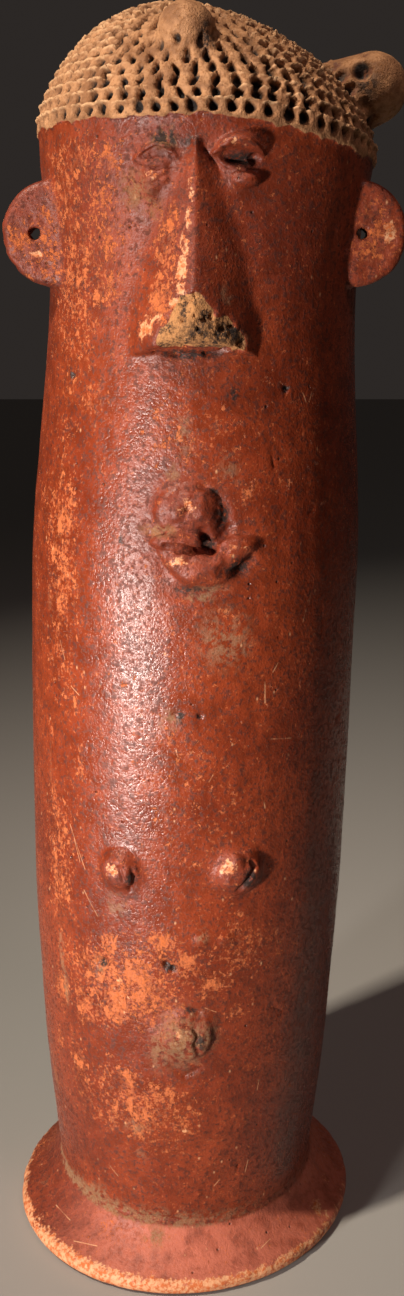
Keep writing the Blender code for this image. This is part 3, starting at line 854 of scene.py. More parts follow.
print("the deepest pit is", round(-move.min() * 1000, 1), "mm")

# %% [markdown]
# ## The broken tip of the nose and the slits under it
# The tip has lost its skin, so coarse, sandy clay shows. Its surface is pushed in by chance
# numbers at two sizes. The nostrils are two slits cut with a stick, and the wings are pinched
# a little fuller than the plain wedge.

# %% The worn nose
skin, way_out, upwards, heights = renew_skin(skin)
move = np.zeros(len(skin))
BREAK_EDGE = ((190, 306), (180, 325), (171, 341), (205, 343), (234, 342), (210, 325), (190, 306))
break_path = np.array([seen_at(*pixel)[0] for pixel in BREAK_EDGE])
apart, _ = stroke_distance(skin, break_path)
broken = soft_step(0.0052, 0.0042, apart + 0.0016 * rough(skin, 0.0040, 11) + 0.0006 * rough(skin, 0.0014, 14))
broken *= soft_step(-0.0500, -0.0530, skin[:, 1]) * soft_step(0.3445, 0.3465, skin[:, 2])
gouge = 0.8 * rough(skin, 0.0026, 12) + rough(skin, 0.0014, 13)
move -= broken * (0.0007 + 0.00035 * gouge + 0.0011 * soft_step(0.45, 0.85, gouge))
for pixels in (((156, 352), (178, 353)), ((205, 353), (228, 351))):
    draw_stroke(move, pixels, 0.0014, 0.0028)
draw_stroke(move, ((140, 346), (165, 349), (200, 349), (240, 346)), 0.0016, 0.0008)
skin += way_out * move[:, None]
print("the break takes up to", round(-move.min() * 1000, 1), "mm")

# %% [markdown]
# ## Pressed and cracked places
# Where a roll was pushed on, the tool left a dent beside it and the drying clay cracked. These
# strokes and dabs are set down one by one from the photograph.

# %% Dents and cracks
skin, way_out, upwards, heights = renew_skin(skin)
move = np.zeros(len(skin))
# Each stroke has its pixels, its half width and its depth. Below 0 it is a ridge.
for pixels, radius, depth in (
    (((226, 158), (240, 160), (255, 159)), 0.0021, 0.0042),
    (((206, 150), (214, 160), (222, 172)), 0.0013, 0.0012),
    (((216, 156), (224, 164)), 0.0009, -0.0007),
    (((222, 148), (236, 152)), 0.0009, 0.0007),
    (((141, 156), (156, 148), (172, 153)), 0.0011, 0.0013),
    (((142, 167), (156, 169), (170, 166)), 0.0011, 0.0014),
    (((140, 170), (147, 186), (158, 180), (167, 171)), 0.0011, 0.0005),
    (((176, 150), (190, 146), (204, 150)), 0.0014, 0.0006),
    (((165, 546), (182, 547), (200, 549), (214, 551)), 0.0013, 0.0026),
    (((203, 532), (207, 544), (210, 550)), 0.0024, 0.0026),
    (((212, 546), (222, 537), (232, 527)), 0.0018, 0.0020),
    (((217, 500), (223, 514), (220, 530)), 0.0046, 0.0016),
    (((182, 490), (205, 488), (220, 500)), 0.0018, 0.0010),
    (((150, 536), (170, 529), (196, 533)), 0.0013, 0.0010),
    (((222, 572), (240, 569), (251, 558)), 0.0028, 0.0016),
    (((162, 590), (190, 596), (222, 592), (245, 578)), 0.0032, 0.0006),
    (((119, 868), (122, 878), (131, 889)), 0.0011, 0.0012),
    (((131, 868), (135, 878), (131, 889)), 0.0012, 0.0010),
    (((252, 862), (255, 868), (249, 879), (238, 891)), 0.0014, 0.0016),
    (((194, 1030), (199, 1038), (195, 1046), (200, 1056)), 0.0014, 0.0014),
    (((190, 1008), (200, 1012)), 0.0012, 0.0008),
    (((172, 1068), (185, 1076), (200, 1068)), 0.0015, 0.0008),
    (((160, 746), (177, 756), (198, 771)), 0.0006, 0.0006),
):
    draw_stroke(move, pixels, radius, depth)
for pixel, radius, depth in (
    ((104, 961), 0.0020, 0.0012),
    ((98, 963), 0.0012, 0.0010),
    ((166, 964), 0.0018, 0.0018),
    ((173, 968), 0.0016, 0.0018),
    ((175, 715), 0.0016, 0.0007),
    ((200, 716), 0.0014, 0.0014),
    ((238, 1166), 0.0011, 0.0011),
    ((199, 1194), 0.0012, -0.0006),
    ((73, 375), 0.0014, 0.0012),
    ((286, 389), 0.0016, 0.0013),
    ((160, 1038), 0.0060, -0.0007),
    ((180, 1020), 0.0050, -0.0009),
    ((208, 1022), 0.0050, -0.0008),
    ((201, 941), 0.0036, -0.0008),
    ((226, 939), 0.0036, -0.0007),
    ((362, 72), 0.0042, 0.0042),
    ((363, 58), 0.0012, 0.0008),
    ((187, 510), 0.0012, 0.0014),
    ((174, 512), 0.0040, -0.0007),
    ((198, 514), 0.0036, -0.0008),
    ((168, 540), 0.0030, -0.0006),
    ((175, 563), 0.0040, -0.0008),
    ((118, 862), 0.0026, -0.0006),
    ((238, 862), 0.0030, -0.0007),
):
    dab(move, pixel, radius, depth)
lumpy = np.zeros(len(skin))
for pixel, reach in (
    ((190, 540), 0.022), ((25, 240), 0.016), ((370, 240), 0.018), ((155, 165), 0.009),
    ((118, 877), 0.009), ((238, 870), 0.010), ((184, 1040), 0.014), ((232, 158), 0.009),
):
    centre, _ = seen_at(*pixel)
    lumpy = np.maximum(lumpy, soft_step(reach, reach * 0.5, np.linalg.norm(skin - centre, axis=1)))
move += lumpy * (0.00040 * rough(skin, 0.0045, 33) + 0.00034 * rough(skin, 0.0019, 34))
print("dents and cracks down to", round(-move.min() * 1000, 1), "mm")

# %% [markdown]
# ## Chips and straw marks
# Chopped straw was kneaded into the clay and burnt away in the fire. It left short, narrow grooves
# at all angles, and grit that fell out left small holes. A seeded chance spreads them, so they are
# the same on every run.

# %% Chips and straw marks
straw = np.random.default_rng(21)
STRAW_MARKS = 70
for mark in range(STRAW_MARKS):
    angle, height = straw.uniform(-math.pi, math.pi), straw.uniform(0.008, 0.40)
    radius = tube_radius(height)
    centre = np.array([axis_at(height) + radius * math.cos(angle), radius * math.sin(angle), height])
    right = np.array([-math.sin(angle), math.cos(angle), 0])
    slope = straw.uniform(-math.pi, math.pi)
    length = straw.uniform(0.0015, 0.0070) * (mark % 3 != 0) + 0.0004
    way = (right * math.cos(slope) + np.array([0, 0, 1]) * math.sin(slope)) * length / 2
    near = within(centre, length / 2 + 0.003)
    apart, _ = stroke_distance(skin[near], np.array([centre - way, centre + way]))
    width = straw.uniform(0.0005, 0.0008)
    move[near] -= straw.uniform(0.0002, 0.0005) * np.clip(1 - (apart / width) ** 2, 0, 1)
from_crease = np.abs(skin[:, 2] - FOOT_HEIGHT - 0.0012) / 0.0010
outside_tube = np.hypot(skin[:, 0] - FOOT_MIDDLE, skin[:, 1])
move -= 0.00035 * np.clip(1 - from_crease ** 2, 0, 1) * (outside_tube < 0.054)
rim = soft_step(0.0635, 0.0665, outside_tube) * soft_step(0.0003, 0.002, skin[:, 2]) * (skin[:, 2] < 0.012)
move -= rim * 0.0006 * np.clip(rough(skin, 0.005, 31) - 0.1, 0, 1)
skin += way_out * (move * soft_step(0.0003, 0.003, skin[:, 2]))[:, None]
write_skin(skin)
for name, values in (("bare", in_hair), ("pit", painted_pit_shade), ("ridge", ridge), ("broken", broken)):
    figure.data.attributes.new(name, "FLOAT", "POINT").data.foreach_set("value", values)
print(STRAW_MARKS, "straw marks and chips")

# %% [markdown]
# ## Hollowing
# Now the inside is cut out with a plain body, which follows the tube a wall's thickness within
# its outside. First the skin is thinned out: triangles go where the clay is plain and stay where
# pits and folds are.

# %% Thinning and hollowing
WALL = 0.0085
FOOT_BEARING = 0.0125
TRIANGLES = 168000
apply_modifier("DECIMATE", ratio=TRIANGLES / (2 * len(figure.data.polygons)))

mouth, bore = FOOT_RADIUS - FOOT_RIM - FOOT_BEARING, ANKLE_RADIUS - WALL
inner_rings = [level_ring(mouth + (mouth - bore) * 0.2, -0.0044), level_ring(bore, FOOT_HEIGHT)]
for step in range(1, 41):
    height = FOOT_HEIGHT + (HAIRLINE - HAIRLINE_DIP - WALL - FOOT_HEIGHT) * step / 40
    inner_rings.append(level_ring(tube_radius(height) - WALL, height))
angles = [2 * math.pi * k / AROUND for k in range(AROUND)]
for step in range(1, 16):
    inner_rings.append([crown_point(step / 16.2, angle, WALL) for angle in angles])
inner_rings = [ring[::2] for ring in inner_rings]
hollow = raise_rings("hollow", inner_rings)
apply_modifier("BOOLEAN", operation="DIFFERENCE", solver="EXACT", object=hollow)
bpy.data.objects.remove(hollow)
triangles = sum(len(face.vertices) - 2 for face in figure.data.polygons)
print("the hollow figure has", triangles, "triangles")

# %% [markdown]
# ## Where the slip is rubbed, dusty or broken, and where shade and highlights are painted
# Handling rubbed the slip thin over whole areas, and soil still clings in the folds. These areas are
# soft clouds, set down from the photograph and kept on the skin as numbers from 0 to 1. On the
# hidden sides a plain chance field takes their place. The shader breaks the clouds up into flakes.
# Some clouds are painted shade in dents, creases and on shaded flanks, and some are painted highlights on the
# lit tops of small lumps.

# %% Clouds of wear and dust
skin_tree = BVHTree.FromObject(figure, bpy.context.evaluated_depsgraph_get())
skin, way_out, upwards, heights = read_skin()
around = np.arctan2(skin[:, 1], skin[:, 0] - FOOT_MIDDLE)
from_axis = np.hypot(skin[:, 0] - FOOT_MIDDLE, skin[:, 1])
hidden = soft_step(-0.25, 0.25, skin[:, 1] / 0.055)


def cloud(field, rows):
    """Adds soft clouds: column, row, half width and half height in mm, and strength."""
    for column, row, wide, tall, strength in rows:
        centre, out = seen_at(column, row)
        apart = skin - centre
        level = np.hypot(apart[:, 0], apart[:, 1]) / (wide / 1000)
        upright = apart[:, 2] / (tall / 1000)
        field[:] = np.maximum(field, strength * np.exp(-(level ** 2 + upright ** 2)))


wear = hidden * (0.28 + 0.25 * rough(skin, 0.045, 41)) + 0.24 + 0.14 * rough(skin, 0.02, 42)
cloud(wear, (
    (80, 155, 10, 9, 0.72), (112, 160, 8, 10, 0.66), (100, 200, 12, 13, 0.62), (70, 185, 8, 12, 0.60),
    (110, 235, 9, 12, 0.66), (85, 260, 8, 10, 0.60), (108, 290, 9, 9, 0.72), (80, 320, 10, 10, 0.60),
    (85, 352, 9, 8, 0.66), (95, 400, 10, 8, 0.62), (70, 380, 8, 12, 0.55), (62, 470, 7, 12, 0.55),
    (62, 520, 7, 9, 0.74), (65, 575, 7, 9, 0.72), (45, 500, 5, 14, 0.50), (65, 640, 7, 10, 0.52),
    (75, 705, 5, 5, 0.66), (82, 765, 5, 9, 0.74), (52, 730, 4, 10, 0.5), (60, 850, 5, 12, 0.5),
    (110, 945, 9, 8, 0.78), (135, 975, 11, 8, 0.92), (118, 1005, 9, 10, 0.95), (165, 940, 9, 7, 0.72),
    (185, 965, 10, 8, 0.76), (215, 985, 12, 10, 0.70), (250, 960, 9, 9, 0.62), (62, 985, 7, 12, 0.80),
    (85, 1010, 8, 10, 0.74), (240, 1010, 9, 8, 0.60), (80, 1060, 9, 8, 0.72), (125, 1080, 10, 7, 0.78),
    (155, 1098, 6, 6, 0.70), (60, 1040, 5, 12, 0.60), (185, 1130, 9, 3, 0.66), (175, 1155, 11, 4, 0.56),
    (130, 1170, 9, 6, 0.48), (195, 1175, 10, 4, 0.46), (220, 620, 12, 12, 0.42), (200, 680, 12, 9, 0.44),
    (170, 835, 8, 7, 0.46), (190, 870, 8, 7, 0.44), (185, 905, 10, 8, 0.46), (300, 930, 8, 20, 0.40),
    (270, 700, 12, 20, 0.36), (285, 480, 12, 14, 0.42), (250, 490, 7, 9, 0.60), (265, 390, 8, 12, 0.42),
    (20, 240, 8, 14, 0.58), (372, 240, 9, 14, 0.62), (190, 430, 8, 20, 0.34), (110, 1230, 10, 10, 0.5),
))
cloud(wear, (
    (70, 260, 26, 60, 0.58), (60, 560, 17, 70, 0.60), (120, 985, 34, 26, 0.72), (60, 850, 16, 50, 0.60),
    (130, 1110, 40, 24, 0.64), (240, 960, 26, 30, 0.54), (185, 400, 30, 60, 0.42), (200, 800, 34, 60, 0.44),
    (168, 240, 7, 20, 0.70), (160, 300, 8, 12, 0.78), (25, 235, 14, 18, 0.46), (375, 235, 14, 18, 0.60),
))
wear += 0.12 * rough(skin, 0.008, 46) * (wear > 0.3)
WEAR_KNEE = 0.40
wear = np.where(wear > WEAR_KNEE, WEAR_KNEE + (wear - WEAR_KNEE) * 0.62, wear)
# Pale clouds: painted highlights on the lit tops of the lids, lips, breasts and navel, on the left wing of the
# nose and on the ear rims, next to worn pale spots; the foot's worn rim is real wear, and the pale strip down
# the nose ridge is partly wear, partly a painted highlight.
pale_wear_and_highlight = 0.10 * hidden + 0.04 * rough(skin, 0.02, 43)
cloud(pale_wear_and_highlight, (
    (145, 328, 5, 4.6, 0.90), (158, 318, 4, 4, 0.60), (185, 508, 6, 5, 0.62), (175, 562, 6, 3, 0.66),
    (112, 870, 3.4, 3.4, 0.80), (228, 868, 4.4, 4.0, 0.80), (182, 1035, 4.0, 4.4, 0.72),
    (317, 1207, 4.5, 3.0, 0.95), (324, 1180, 4.5, 2.0, 0.72), (240, 548, 5, 2.4, 0.55),
    (150, 175, 3.2, 2.4, 0.62), (232, 140, 4, 2, 0.60), (240, 168, 3.6, 1.6, 0.5),
    (390, 232, 3.0, 5.0, 0.85), (38, 255, 3.4, 1.6, 0.85), (120, 985, 6, 5, 0.60), (125, 1010, 5, 6, 0.56),
    (185, 1132, 3, 2.4, 0.7),
))
NOSE_RIDGE = ((193, 168), (190, 200), (185, 240), (181, 275), (178, 300))
ridge_path = np.array([seen_at(*pixel)[0] for pixel in NOSE_RIDGE])
apart, along = stroke_distance(skin, ridge_path)
pale_wear_and_highlight = np.maximum(pale_wear_and_highlight, (0.50 + 0.28 * along) * soft_step(0.0022 + 0.0042 * along, 0.0002, apart))
rim = soft_step(0.0008, 0.0022, skin[:, 2]) * soft_step(0.0098, 0.0050, skin[:, 2])
rim *= soft_step(0.0615, 0.0650, from_axis)
rim *= 0.62 + 0.38 * np.clip(np.cos(around + math.radians(118)), -1, 1)
pale_wear_and_highlight = np.maximum(pale_wear_and_highlight, 0.98 * rim)

dust = 0.10 * hidden * (1 + rough(skin, 0.03, 44))
cloud(dust, (
    (225, 640, 11, 12, 0.62), (170, 722, 4.5, 4, 0.75), (185, 432, 4, 7, 0.55), (160, 530, 7, 3, 0.80),
    (200, 598, 5, 1.8, 0.95), (172, 475, 3, 2, 0.70), (135, 190, 7, 7, 0.62), (150, 205, 5, 8, 0.50),
    (165, 140, 5, 2.6, 0.90), (184, 1045, 12, 15, 0.72), (160, 1050, 6, 10, 0.66), (208, 1040, 6, 10, 0.62),
    (62, 950, 1.6, 12, 0.85), (66, 985, 1.8, 9, 0.80), (130, 1124, 8, 2.4, 0.85), (141, 1155, 2.4, 1.8, 0.7),
    (115, 905, 6, 6, 0.55), (227, 296, 2.4, 3, 0.85), (100, 965, 2.6, 5, 0.7), (203, 938, 2.6, 3.4, 0.7),
    (210, 590, 8, 3, 0.60), (230, 470, 5, 8, 0.45), (50, 760, 1.6, 12, 0.5), (50, 600, 3, 12, 0.35),
    (155, 1237, 6, 4, 0.70), (45, 1180, 4, 6, 0.4), (240, 340, 6, 3, 0.55), (56, 1075, 3, 10, 0.5),
))
crease_here = FOOT_HEIGHT - CREASE_SAG * np.clip(-skin[:, 1] / 0.055, 0, 1)
band = soft_step(0.0042, 0.0020, np.abs(skin[:, 2] - crease_here - 0.0022)) * (0.55 - 0.35 * np.cos(around))
dust = np.maximum(dust, np.clip(band, 0, 0.9))

# The hollow's skin faces the leaning middle, and the crown's faces its centre.
middle = axis_at(0) + LEAN * (np.clip(skin[:, 2], 0, None) / CROWN_HEIGHT) ** LEAN_POWER
outward = np.stack([skin[:, 0] - middle, skin[:, 1]], axis=1)
reach = np.linalg.norm(outward, axis=1)
facing = (outward * way_out[:, :2]).sum(axis=1) / np.maximum(reach, 1e-6)
outer = np.interp(skin[:, 2], [z for z, _ in TUBE_RADII], [r for _, r in TUBE_RADII]) - 0.0045
inside = (facing < -0.2) & (reach < np.where(skin[:, 2] < FOOT_HEIGHT, 0.0520, outer))
crown = skin - np.array([axis_at(0.405), 0, 0.405])
inside |= (skin[:, 2] > 0.395) & ((crown * way_out).sum(axis=1) < -0.5 * np.linalg.norm(crown, axis=1))
inside |= skin[:, 2] < 0.0003

folds = np.zeros(len(skin))
cloud(folds, (
    (152, 185, 13, 24, 1.0), (235, 158, 13, 12, 1.0), (190, 535, 20, 20, 1.0), (190, 330, 24, 14, 0.9),
    (118, 877, 9, 9, 0.9), (236, 870, 10, 10, 0.9), (184, 1040, 13, 14, 1.0), (190, 230, 14, 32, 0.75),
    (30, 235, 24, 28, 1.0), (372, 235, 24, 28, 1.0), (100, 220, 24, 40, 0.75), (280, 230, 30, 36, 0.8),
))
folds = np.maximum(folds, soft_step(0.030, 0.018, skin[:, 2]))
# Painted shade is added to the pits' table in the dent on the side knob and on its underside.
pit_shade_now = np.empty(len(skin))
figure.data.attributes["pit"].data.foreach_get("value", pit_shade_now)
cloud(pit_shade_now, ((362, 72, 3.2, 3.0, 0.9), (372, 95, 2.5, 5, 0.30)))
figure.data.attributes["pit"].data.foreach_set("value", pit_shade_now)
# Painted shade: near-black clouds in the dents, creases and cracks, under the nose, in the mouth, and on the
# right flanks of the breasts, the navel and the front knob; a thin chance field on the hidden sides stands for
# grime.
shade_and_grime = 0.12 * hidden * np.clip(rough(skin, 0.012, 45), 0, 1)
cloud(shade_and_grime, (
    (165, 139, 4.5, 2.2, 0.95), (236, 566, 5, 3.4, 1.0), (207, 541, 3, 3.6, 1.0), (222, 515, 3, 6, 0.75),
    (215, 492, 4, 2, 0.55), (228, 333, 7, 3.2, 0.85), (200, 330, 8, 5, 0.50), (200, 1043, 2.0, 4, 0.75),
    (130, 880, 2.4, 3, 0.75), (249, 878, 3, 3.6, 0.95), (104, 962, 2, 1.6, 0.9), (170, 966, 2.4, 2.0, 1.0),
    (190, 354, 11, 1.6, 0.85), (155, 160, 5, 3.0, 0.42), (240, 160, 5, 2.6, 0.9), (190, 140, 7, 3, 0.5),
    (180, 716, 1.6, 2.4, 0.85), (199, 716, 1.2, 1.4, 0.9), (190, 590, 8, 2, 0.6), (234, 395, 3, 1.6, 0.7),
    (207, 38, 3.4, 8, 0.62), (368, 85, 5, 5, 0.55), (73, 375, 1.4, 1.4, 0.9),
    (286, 389, 1.6, 1.4, 0.85), (190, 1010, 2.4, 1.2, 0.8), (120, 542, 2, 0.8, 0.7),
))
# Painted light: the front right of the foot's skirt is painted a brighter pink, as if lit.
skirt = soft_step(0.0205, 0.0190, skin[:, 2]) * soft_step(0.0010, 0.0030, skin[:, 2])
skirt *= soft_step(-0.7, 0.5, skin[:, 0] / 0.06 - skin[:, 1] / 0.08)
for name, values in (
    ("skirt", skirt), ("shade_and_grime", shade_and_grime), ("wear", wear), ("pale_wear_and_highlight", pale_wear_and_highlight), ("dust", dust),
    ("folds", folds), ("inside", inside.astype(float)),
):
    figure.data.attributes.new(name, "FLOAT", "POINT").data.foreach_set("value", np.clip(values, 0, 1))
for name, values in (("wear", wear), ("dust", dust), ("inside", inside)):
    print(name, "covers", round(float(values.mean()), 2), "of the corners, on average")

# %% [markdown]
# ## Nodes by name
# A few helpers keep the node graphs short. Effects that are used more than once become node groups
# with named inputs and outputs, so each can be taken into another material as it is.

# %% Helpers for nodes
def new_group(name, inputs, outputs):
    """A node group with its sockets. Each input is a name with a default value."""
    group = bpy.data.node_groups.new(name, "ShaderNodeTree")
    for title, value in inputs.items():
        kind = "NodeSocketFloat" if isinstance(value, (int, float)) else "NodeSocketVector"
        group.interface.new_socket(title, in_out="INPUT", socket_type=kind).default_value = value
    for title in outputs:
        group.interface.new_socket(title, in_out="OUTPUT", socket_type="NodeSocketFloat")
    return group, group.nodes.new("NodeGroupInput"), group.nodes.new("NodeGroupOutput")


def plug(tree, socket, value):
    """Links a socket to an output, or sets its constant."""
    if isinstance(value, bpy.types.NodeSocket):
        tree.links.new(value, socket)
    elif value is not None:
        socket.default_value = value


def sums(tree, operation, *values, clamp=False):
    """One Math node."""
    node = tree.nodes.new("ShaderNodeMath")
    node.operation = operation
    node.use_clamp = clamp
    for socket, value in zip(node.inputs, values):
        plug(tree, socket, value)
    return node.outputs[0]


def vectors(tree, operation, *values):
    """One Vector Math node."""
    node = tree.nodes.new("ShaderNodeVectorMath")
    node.operation = operation
    for socket, value in zip(node.inputs, values):
        plug(tree, socket, value)
    return node.outputs["Value" if operation in ("DOT_PRODUCT", "LENGTH") else "Vector"]


def ramp(tree, value, low, high, bottom=0.0, top=1.0):
    """Smoothly carries a value from one range to another."""
    node = tree.nodes.new("ShaderNodeMapRange")
    node.interpolation_type = "SMOOTHSTEP"
    for socket, given in zip(node.inputs, (value, low, high, bottom, top)):
        plug(tree, socket, given)
    return node.outputs[0]


def blend(tree, share, first, second):
    """Goes from a first colour to a second one by a share."""
    node = tree.nodes.new("ShaderNodeMix")
    node.data_type = "RGBA"
    for title, value in (("Factor_Float", share), ("A_Color", first), ("B_Color", second)):
        socket = next(one for one in node.inputs if one.identifier == title)
        plug(tree, socket, (*value, 1) if isinstance(value, tuple) else value)
    return next(one for one in node.outputs if one.identifier == "Result_Color")


def noise(tree, place, scale, detail=3.0, roughness=0.55):
    node = tree.nodes.new("ShaderNodeTexNoise")
    for title, value in (("Vector", place), ("Scale", scale), ("Detail", detail), ("Roughness", roughness)):
        plug(tree, node.inputs[title], value)
    return node.outputs["Fac"]


def use(tree, group, **values):
    """Puts a node group into a tree and fills its inputs by name."""
    node = tree.nodes.new("ShaderNodeGroup")
    node.node_tree = group
    for title, value in values.items():
        plug(tree, node.inputs[title], value)
    return node.outputs


print("helpers for node graphs")

# %% [markdown]
# ## Flakes, scratches and pinholes
# Rubbed slip comes off in flakes with crisp, ragged edges. The flakes group cuts a fine chance
# pattern off at a height that the cloud of wear sets, so more wear gives more and larger flakes. A
# scratch is whatever lies close to a line between two points. Pinholes are the middles of small
# cells, kept only where chance says so.

# %% Node groups
flakes, given, result = new_group(
    "flakes", {"Place": (0, 0, 0), "Density": 0.5, "Scale": 300.0, "Softness": 0.03}, ["Mask"])
pattern = noise(flakes, given.outputs["Place"], given.outputs["Scale"], 6.0, 0.72)
limit = ramp(flakes, given.outputs["Density"], 0.0, 1.0, 0.74, 0.38)
low = sums(flakes, "SUBTRACT", limit, given.outputs["Softness"])
high = sums(flakes, "ADD", limit, given.outputs["Softness"])
plug(flakes, result.inputs["Mask"], ramp(flakes, pattern, low, high))

scratch, given, result = new_group(
    "scratch", {"Place": (0, 0, 0), "Start": (0, 0, 0), "End": (0, 0, 0.01), "Width": 0.0004}, ["Mask"])
from_start = vectors(scratch, "SUBTRACT", given.outputs["Place"], given.outputs["Start"])
way = vectors(scratch, "SUBTRACT", given.outputs["End"], given.outputs["Start"])
share = sums(
    scratch, "DIVIDE", vectors(scratch, "DOT_PRODUCT", from_start, way),
    vectors(scratch, "DOT_PRODUCT", way, way), clamp=True)
nearest = scratch.nodes.new("ShaderNodeVectorMath")
nearest.operation = "SCALE"
plug(scratch, nearest.inputs[0], way)
plug(scratch, nearest.inputs["Scale"], share)
apart = vectors(scratch, "LENGTH", vectors(scratch, "SUBTRACT", from_start, nearest.outputs[0]))
plug(scratch, result.inputs["Mask"], ramp(scratch, apart, given.outputs["Width"], 0.0))

pinholes, given, result = new_group(
    "pinholes", {"Place": (0, 0, 0), "Scale": 200.0, "Size": 0.12, "Share": 0.3}, ["Mask"])
cells = pinholes.nodes.new("ShaderNodeTexVoronoi")
plug(pinholes, cells.inputs["Vector"], given.outputs["Place"])
plug(pinholes, cells.inputs["Scale"], given.outputs["Scale"])
dot = ramp(pinholes, cells.outputs["Distance"], given.outputs["Size"], 0.0)
lot = vectors(pinholes, "DOT_PRODUCT", cells.outputs["Color"], (1, 0, 0))
picked = sums(pinholes, "LESS_THAN", lot, given.outputs["Share"])
plug(pinholes, result.inputs["Mask"], sums(pinholes, "MULTIPLY", dot, picked))
print("three groups: flakes, scratch, pinholes")

# %% [markdown]
# ## Burnished slip over coarse clay
# One skin of fired clay carries all finishes: red slip rubbed to a gloss, flakes where the orange
# clay shows, tan hair without slip, the sandy break, soil in the folds and the sooty, unslipped
# inside. Gloss is what tells slip from clay, so the roughness changes with every mask.
# Part of the colour is painted light: near black in pits, dents and creases as painted shade, pale flakes on
# lit tops as painted highlights, and a brighter pink on the front right of the foot.

# %% The clay material
paint = bpy.data.materials.new("burnished_terracotta")
paint.use_nodes = True
tree = paint.node_tree
shader = tree.nodes["Principled BSDF"]
shader.inputs["Specular IOR Level"].default_value = 0.42
place = tree.nodes.new("ShaderNodeTexCoord").outputs["Object"]


def kept(name):
    """A number that the skin keeps for every corner."""
    node = tree.nodes.new("ShaderNodeAttribute")
    node.attribute_name = name
    return node.outputs["Fac"]


def times(first, second, clamp=False):
    return sums(tree, "MULTIPLY", first, second, clamp=clamp)


def most(first, *others):
    """The greatest of some values."""
    for other in others:
        first = sums(tree, "MAXIMUM", first, other)
    return first


SLIP_DARK, SLIP_RED, SLIP_BRIGHT = (0.060, 0.011, 0.005), (0.175, 0.026, 0.009), (0.250, 0.041, 0.013)
BARE_ORANGE, BARE_BROWN, BARE_PALE = (0.520, 0.130, 0.034), (0.400, 0.100, 0.030), (0.680, 0.350, 0.180)
HAIR_TAN, HAIR_BROWN, HAIR_RIDGE_LIGHT = (0.450, 0.222, 0.100), (0.225, 0.098, 0.040), (0.640, 0.380, 0.200)
BREAK_OCHRE, BREAK_DARK = (0.420, 0.195, 0.072), (0.040, 0.020, 0.011)
SKIRT_LIT_PINK = (0.500, 0.140, 0.085)
# The near-black colour is painted shade in pits, dents, creases and small holes, and also the colour of dark
# grit.
SOIL, SHADE_AND_GRIT_BLACK, INSIDE = (0.255, 0.145, 0.080), (0.014, 0.009, 0.007), (0.280, 0.115, 0.055)

upright = vectors(tree, "MULTIPLY", place, (1.0, 1.0, 0.62))
tall_flakes = vectors(tree, "MULTIPLY", place, (1.0, 1.0, 0.80))
broad = noise(tree, place, 28.0, 3.0)
medium = noise(tree, place, 160.0, 4.0, 0.6)
fine = noise(tree, place, 1500.0, 2.0, 0.6)
streaks = noise(tree, vectors(tree, "MULTIPLY", place, (1.0, 1.0, 0.10)), 700.0, 3.0, 0.6)

slip = blend(tree, ramp(tree, broad, 0.35, 0.66), SLIP_RED, SLIP_BRIGHT)
speckle = noise(tree, place, 620.0, 3.0, 0.65)
slip = blend(tree, ramp(tree, medium, 0.62, 0.32, 0.0, 0.40), slip, SLIP_DARK)
slip = blend(tree, ramp(tree, speckle, 0.50, 0.64, 0.0, 0.75), slip, SLIP_DARK)
slip = blend(tree, times(ramp(tree, streaks, 0.50, 0.75), 0.30), slip, SLIP_DARK)

worn = use(tree, flakes, Place=tall_flakes, Density=kept("wear"), Scale=330.0, Softness=0.014)[0]
few = most(times(kept("wear"), 1.10), 0.41)
small = use(tree, flakes, Place=place, Density=few, Scale=800.0, Softness=0.016)[0]
small = times(small, ramp(tree, medium, 0.40, 0.60, 0.25, 0.90))
peeled = most(worn, small)
# Painted light on the front right of the foot's skirt.
skirt_painted_light = times(kept("skirt"), ramp(tree, medium, 0.30, 0.60, 0.35, 0.80))
slip = blend(tree, skirt_painted_light, slip, SKIRT_LIT_PINK)
orange = blend(tree, ramp(tree, fine, 0.38, 0.62), BARE_ORANGE, BARE_BROWN)
colour = blend(tree, times(peeled, 0.88), slip, orange)

# Pale flakes: painted highlights on the lit tops of lids, lips, breasts and navel, together with worn pale
# spots.
pale_flakes_and_highlight = use(tree, flakes, Place=place, Density=kept("pale_wear_and_highlight"), Scale=420.0, Softness=0.05)[0]
pale_flakes_and_highlight = times(pale_flakes_and_highlight, ramp(tree, kept("pale_wear_and_highlight"), 0.05, 0.35))
pale_clay_and_highlight = blend(tree, ramp(tree, speckle, 0.40, 0.62), BARE_PALE, BARE_ORANGE)
colour = blend(tree, times(pale_flakes_and_highlight, 0.9), colour, pale_clay_and_highlight)

flecks = use(tree, pinholes, Place=upright, Scale=360.0, Size=0.22, Share=0.10)[0]
colour = blend(tree, times(flecks, 0.75), colour, BARE_PALE)
holes = use(tree, pinholes, Place=place, Scale=210.0, Size=0.15, Share=0.16)[0]
grit = use(tree, pinholes, Place=place, Scale=760.0, Size=0.30, Share=0.10)[0]

SCRATCHES = (
    ((308, 600), (303, 622), 0.45), ((311, 593), (309, 603), 0.4), ((278, 663), (273, 672), 0.45),
    ((265, 682), (265, 703), 0.55), ((71, 686), (79, 695), 0.4), ((70, 824), (85, 869), 0.35),
    ((74, 838), (80, 862), 0.3), ((213, 775), (209, 782), 0.4), ((264, 801), (265, 808), 0.6),
    ((271, 739), (291, 738), 0.35), ((74, 1241), (97, 1246), 0.5), ((56, 1205), (70, 1220), 0.45),
    ((270, 1239), (261, 1248), 0.45), ((176, 750), (178, 757), 0.45), ((303, 393), (306, 402), 0.4),
    ((313, 388), (309, 402), 0.35), ((84, 890), (98, 917), 0.4), ((178, 1032), (183, 1046), 0.5),
    ((205, 1008), (216, 1012), 0.4), ((110, 1166), (118, 1176), 0.3), ((248, 1160), (245, 1172), 0.4),
    ((220, 1179), (214, 1186), 0.4), ((259, 1080), (257, 1090), 0.3), ((65, 660), (60, 640), 0.3),
)
marks = None
